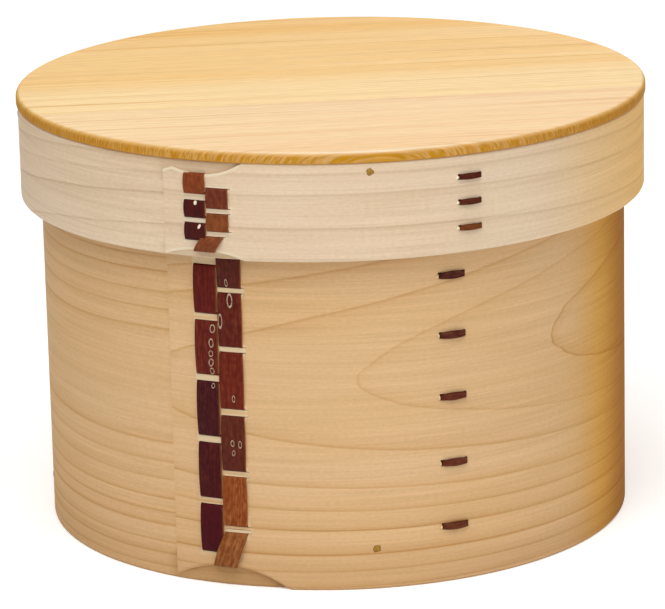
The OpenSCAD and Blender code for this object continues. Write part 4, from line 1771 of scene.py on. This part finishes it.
@dataclass(kw_only=True)
class Tub(LacedPart):
    """The tub: a laced hoop and a let-in bottom of two boards."""

    body: Body = Body.TUB
    label: str = "body"
    plate_label: str = "bottom"
    node: str = "body_hoop"
    slot: str = "body_wood"
    wood: BentSoftwood = BentSoftwood(
        name="flat_sawn_cypress_hoop",
        spring="#E6C296",
        summer="#C2863A",
        amber="#DFB57C",
        fresh_and_highlit="#F0DAB4",
        shade="#A87C48",
        # Painted warm shade for the side away from the light:
        warm_shade="#E3AD59",
        deep_warm_shade="#AE6F1A", line_strength=0.95,
    )
    wall: float = 5.0
    strap_width: float = 7.8
    left_row: float = -42.4
    right_row: float = -34.1
    right_widen: float = 0.03
    closing: tuple[float, float] = (-34.1, -37.9)
    hook_depth: float = 1.5
    lace_overcut: float = 1.1
    left: tuple[Stitch, ...] = (
        (129.1, 109.4, "#5D140D", 0.0),
        (107.0, 90.8, "#5D140D", 0.05),
        (88.6, 70.6, "#611A0F", 0.1),
        (68.5, 50.2, "#3F0A10", 0.05),
        (48.0, 29.4, "#44080C", 0.05),
        (27.3, 11.1, "#460710", 0.0),
    )
    right: tuple[Stitch, ...] = (
        (118.6, 99.8, "#552016", 0.05),
        (98.2, 80.4, "#5B1A10", 0.1),
        (78.7, 59.8, "#681E0F", 0.1),
        (57.6, 39.1, "#5B2316", 0.05),
        (37.3, 20.5, "#8D4317", 0.45),
        (18.4, 6.6, "#8A4C22", 0.7),
    )
    tack_at: tuple[float, float] = (33.5, 42.2)
    tack_width: float = 2.4
    tack_slack: float = -0.12
    tack_overcut: float = 0.45
    tack_bow: float = 0.25
    tack_belly: tuple[float, float] = (-0.2, 0.26)
    tack_spread: float = 1.5
    tack_scuff: float = 0.8
    tacks: tuple[tuple[float, str], ...] = (
        (18.9, "#8C4420"),
        (40.2, "#8A3E1E"),
        (62.2, "#84341A"),
        (82.6, "#703018"),
        (102.2, "#5E2014"),
        (122.6, "#6A2818"),
    )
    fleck_at: tuple[float, float] = (-0.7, -0.1)
    fleck_size: tuple[float, float] = (0.8, 1.5)
    peg_seed: int = 4
    # The bridge above the closing stitch has split in two
    split: Slit = Slit(-37.2, -29.0, 19.38, 19.64)
    bottom_joint: float = 24.0
    bottom_relief: tuple[float, float] = (-22.4, 91.2)
    bottom_round: float = 0.5
    bottom_rim: float = 0.6
    # Breathing pores of the bark
    pores: tuple[Spot, ...] = (
        (-39.9, 86.2, 1.9, 3.0, 8.0),
        (-40.5, 81.4, 1.7, 3.2, 0.0),
        (-40.7, 77.9, 1.6, 2.2, 0.0),
        (-40.7, 75.0, 1.7, 2.8, 10.0),
        (-40.4, 72.2, 1.5, 2.2, -12.0),
        (-40.2, 67.3, 1.2, 1.9, 14.0),
        (-37.2, 88.9, 1.5, 5.2, 0.0),
        (-33.8, 95.9, 1.9, 5.0, 0.0),
        (-34.8, 101.6, 1.0, 2.6, -8.0),
        (-34.2, 48.6, 1.3, 2.2, 0.0),
        (-31.7, 48.4, 1.2, 2.6, 0.0),
        (-33.9, 45.4, 1.1, 2.0, 6.0),
        (-33.4, 63.5, 1.0, 2.4, 0.0),
    )

    def strip(self, slits: list[Slit]) -> BentWall:
        """Shapes the hoop.

        Args:
            slits: Slits of its straps.

        Returns:
            The hoop.
        """
        log = Log(
            pith_height=71.0, pith_depth=79.87, taper=(0.052, 200.0), crook=(32.0, 170.0, 460.0),
            sway=(7.0, 667.0, 10.0), bend=(0.25, 210.0, -2.5),
        )
        return BentWall(
            name="bent_hoop", node=self.node, body=self.body, slot=self.slot, wall=self.wall,
            lap=Lap(-56.2, 52.0), low_scoop=Scoop(-37.5, 32.0, 7.4), high_scoop=Scoop(-37.5, 32.0, 8.4),
            log=log, slits=[*slits, self.split], steady=(10.4, 124.0),
            # Painted warm shade on the right side, where the light falls off
            side_shade=((138.0, 68.0, 0.74), (210.0, 130.0, 0.5)),
            # The scooped edges get painted shade
            plain=((500.0, 170.0, 0.3), (115.0, 80.0, 0.35)), painted_scoop_edge=-0.3, foot_darkening=(20.0, -0.19),
        )

    def plate(self) -> tuple[Plate, dict[Side, Material]]:
        """Shapes the bottom, which a flat cut keeps clear of the lacing.

        Returns:
            The bottom and the wood of both its boards.
        """
        lowest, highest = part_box("bottom_board_front")
        low, high, reach = lowest.z / MM, highest.z / MM, max(highest.xy) / MM
        soft, rim = self.bottom_round, self.bottom_rim
        plate = Plate(
            name="bottom_board_planed", body=self.body, slot="bottom_wood",
            outline=[
                (reach - soft, low, 0.0),
                (reach, low + soft, rim),
                (reach, high - soft, rim),
                (reach - soft, high, 0.0),
            ],
            joint=self.bottom_joint, turn=0.0, relief=self.bottom_relief,
        )
        wood = StraightSoftwood(
            name="quarter_sawn_cypress_bottom",
            pale="#EBC896",
            honey="#DDB078",
            line="#C99A62",
            rim="#C08A44", turn=0.0,
        )
        return plate, dict.fromkeys(Side, wood.material())

    def marks(self, shop: Workshop) -> tuple[Marks, Material, Material]:
        """Places the pores of the bark.

        Args:
            shop: Shared shape rules and finishes.

        Returns:
            The pores, their finish, and the finish of the flecks at the tacks.
        """
        pores = Marks(
            name="body_bark_pores", kind=Mark.RING_SCAR, body=self.body, slot="bark", radius=self.radius,
            spots=self.pores, proud=1.02, deep=0.9,
        )
        lips = CorkScar(name="torn_cypress_lip", pale="#F0DAB0", brown="#DDBB84")
        return pores, shop.scar, lips.material()


@dataclass(kw_only=True)
class Lid(LacedPart):
    """The lid: a laced band and a plate of two boards let into it."""

    body: Body = Body.LID
    label: str = "lid"
    plate_label: str = "lid"
    node: str = "lid_band"
    slot: str = "band_wood"
    wood: BentSoftwood = BentSoftwood(
        name="flat_sawn_cypress_band",
        spring="#EED8BE",
        summer="#C2A078",
        amber="#E3C6A0",
        fresh_and_highlit="#F4E4C6",
        shade="#B79870",
        # Painted warm shade for the side away from the light:
        warm_shade="#F4D09C",
        deep_warm_shade="#FCCC84", line_strength=0.65,
    )
    wall: float = 4.4
    strap_width: float = 7.3
    left_row: float = -44.65
    right_row: float = -37.05
    closing: tuple[float, float] = (-38.9, -41.45)
    hook_depth: float = 1.35
    lace_overcut: float = 0.9
    lace_bow: float = 0.12
    left: tuple[Stitch, ...] = (
        (138.1, 131.5, "#823D1C", 0.05),
        (129.5, 123.8, "#430F0A", 0.0),
        (122.2, 116.5, "#46130F", 0.0),
    )
    right: tuple[Stitch, ...] = (
        (133.8, 127.1, "#6C301C", 0.05),
        (125.6, 119.7, "#804320", 0.1),
        (118.1, 113.1, "#783C1F", 0.2),
    )
    tack_at: tuple[float, float] = (40.3, 48.0)
    tack_width: float = 1.9
    tack_slack: float = -0.05
    tack_overcut: float = 0.3
    tack_bow: float = 0.2
    tack_belly: tuple[float, float] = (-0.14, 0.2)
    tack_spread: float = 0.45
    tack_scuff: float = 0.15
    tacks: tuple[tuple[float, str], ...] = ((118.9, "#9C5620"), (127.15, "#6C2C0C"), (135.3, "#6A240A"))
    fleck_at: tuple[float, float] = (-0.6, -0.1)
    fleck_size: tuple[float, float] = (1.15, 1.1)
    peg_seed: int = 9
    tongue: float = 100.05
    lip_thick: float = 3.8
    lip_round: float = 1.7
    # Rounding of the plate's lower edges
    soft: float = 0.35
    joint: float = -32.0
    turn: float = 6.6
    # Chipped places of the bark
    chips: tuple[Spot, ...] = ((-44.1, 128.8, 1.1, 1.6, 16.0), (-43.0, 121.2, 0.9, 1.8, 28.0))

    def strip(self, slits: list[Slit]) -> BentWall:
        """Shapes the band.

        Args:
            slits: Slits of its straps.

        Returns:
            The band.
        """
        log = Log(
            pith_height=91.0, pith_depth=78.0, taper=(0.003, 400.0), crook=(10.0, 250.0, 560.0),
            sway=(1.5, 260.0, 40.0), bend=(1.6, 330.0, 60.0),
        )
        return BentWall(
            name="bent_band", node=self.node, body=self.body, slot=self.slot, wall=self.wall,
            lap=Lap(-55.8, 52.0), low_scoop=Scoop(-42.9, 32.0, 3.2), high_scoop=Scoop(-42.9, 23.0, 4.9),
            log=log, slits=slits, steady=(115.6, 134.6), snip=(4.2, 0.4), step=(1.6, 4.0, 2.4),
            # Painted warm shade on the right side, and lighter painted shade in the recesses
            side_shade=((160.0, 114.0, 0.95),), rim_tone=0.1, foot_tone=0.3, recess_shade=-0.25,
        )

    def plate(self) -> tuple[Plate, dict[Side, Material]]:
        """Shapes the plate, with a tongue inside the band and a rounded lip over it.

        Returns:
            The plate and the wood of each board.
        """
        lowest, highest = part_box("lid_board_back")
        low, high, lip = lowest.z / MM, highest.z / MM, highest.x / MM
        seat, soft = high - self.lip_thick, self.soft
        outline = [
            (self.tongue - soft, low, 0.0),
            (self.tongue, low + soft, 0.5),
            (self.tongue, seat, 0.5),
            (lip - soft, seat, 1.0),
            (lip, seat + soft, 1.0),
        ]
        for angle in np.radians(np.linspace(0, 90, 8)):
            inset = self.lip_round * (1 - math.cos(angle))
            outline.append((lip - inset, high - self.lip_round * (1 - math.sin(angle)), math.cos(angle) ** 3))
        plate = Plate(
            name="lid_board_planed", body=self.body, slot="lid_wood", outline=outline, joint=self.joint,
            turn=self.turn,
        )
        front = StraightSoftwood(
            name="quarter_sawn_cypress_lid_front",
            pale="#FFE3B4",
            honey="#FAD4A4",
            line="#DFA25E",
            rim="#CC9120", turn=self.turn,
        )
        back = StraightSoftwood(
            name="quarter_sawn_cypress_lid_back",
            pale="#FEDFA9",
            honey="#F8C77D",
            line="#DFA454",
            rim="#CC9120", turn=self.turn, sapwood=(self.joint + 8.0, 46.0), heart=0.45,
        )
        return plate, {Side.FRONT: front.material(), Side.BACK: back.material()}

    def marks(self, shop: Workshop) -> tuple[Marks, Material, Material]:
        """Places the chips of the bark.

        Args:
            shop: Shared shape rules and finishes.

        Returns:
            The chips, their finish, and the finish of the flecks at the tacks.
        """
        chips = Marks(
            name="lid_bark_chips", kind=Mark.CHIP, body=self.body, slot="bark", radius=self.radius,
            spots=self.chips, proud=0.9, deep=0.5,
        )
        return chips, shop.fleck, shop.fleck


# Studio and camera


@dataclass
class Studio:
    """A white paper floor under soft light from above and in front."""

    floor_size: float = 12.0
    ambient: float = 0.07
    # Name, place, aim height, width and power of each soft lamp, in metres and watts
    lamps: tuple[tuple[str, tuple[float, float, float], float, float, float], ...] = (
        ("top_softbox", (0.0, -0.4, 2.6), 0.1, 3.2, 53.5),
        ("front_softbox", (-0.34, -1.05, 1.3), 0.1, 1.2, 10.0),
        ("right_fill", (1.3, -1.8, 0.9), 0.07, 1.2, 6.5),
        ("back_fill", (0.7, 2.4, 1.0), 0.07, 1.4, 11.0),
    )

    def build(self) -> None:
        """Builds the floor, the lamps and the room's own light."""
        half = self.floor_size / 2
        corners = np.array([(-half, -half, 0), (half, -half, 0), (half, half, 0), (-half, half, 0)]) / MM
        floor = bpy.data.objects.new("paper_floor", write_mesh("paper_floor", corners, [[0, 1, 2, 3]]))
        floor.data.materials.append(PaperFloor().material())
        bpy.context.scene.collection.objects.link(floor)
        for name, spot, aim, width, power in self.lamps:
            lamp = bpy.data.lights.new(name, "AREA")
            lamp.energy, lamp.size, lamp.shape = power, width, "SQUARE"
            holder = bpy.data.objects.new(name, lamp)
            holder.location = spot
            away = Vector(spot) - Vector((0, 0, aim))
            holder.rotation_euler = away.to_track_quat("Z", "Y").to_euler()
            bpy.context.scene.collection.objects.link(holder)
        self.room()

    def room(self) -> None:
        """Lights the room evenly, and shows it as white where a view looks past the floor."""
        world = bpy.data.worlds.new("white_room")
        world.use_nodes = True
        tree = world.node_tree
        tree.nodes.clear()
        strength = add(tree, "ShaderNodeMapRange", [straight_view(tree), 0.0, 1.0, self.ambient, 1.0])
        light = add(tree, "ShaderNodeBackground", {"Color": WHITE, "Strength": strength})
        add(tree, "ShaderNodeOutputWorld", {"Surface": light})
        bpy.context.scene.world = world


@dataclass
class PhotoCamera:
    """A long lens, a little above the lid and tilted slightly, as the photograph was taken."""

    image_width: int = 665
    focal_px: float = 4051.8
    distance: float = 1373.4
    pitch: float = 15.64
    roll: float = 1.33
    # Where the object's middle lies from the middle of the image, in pixels to the right and down
    middle_px: tuple[float, float] = (2.63, -14.32)
    middle_height: float = 72.86
    sensor: float = 36.0

    def build(self) -> None:
        """Sets up the scene's camera and the plain view transform."""
        pitch, roll = math.radians(self.pitch), math.radians(self.roll)
        back = Vector((0, -math.cos(pitch), math.sin(pitch)))
        level = Vector((1, 0, 0))
        upward = back.cross(level)
        right = math.cos(roll) * level - math.sin(roll) * upward
        up = math.sin(roll) * level + math.cos(roll) * upward
        aside, down = (px / self.focal_px * self.distance for px in self.middle_px)
        spot = back * self.distance - right * aside + up * down + Vector((0, 0, self.middle_height))
        lens = bpy.data.cameras.new("photo_camera")
        lens.sensor_fit, lens.sensor_width = "HORIZONTAL", self.sensor
        lens.lens = self.focal_px / self.image_width * self.sensor
        camera = bpy.data.objects.new("photo_camera", lens)
        turn = Matrix((right, up, back)).transposed().to_4x4()
        camera.matrix_world = Matrix.Translation(spot * MM) @ turn
        bpy.context.scene.collection.objects.link(camera)
        bpy.context.scene.camera = camera
        bpy.context.scene.view_settings.view_transform = "Standard"


def main() -> None:
    """Builds the studio and the object's sub-assemblies in order."""
    logging.basicConfig(level=logging.INFO, format="%(message)s")
    PhotoCamera().build()
    Studio().build()
    shop = Workshop.open()
    Tub().build(shop)
    Lid().build(shop)


if __name__ == "__main__":
    main()
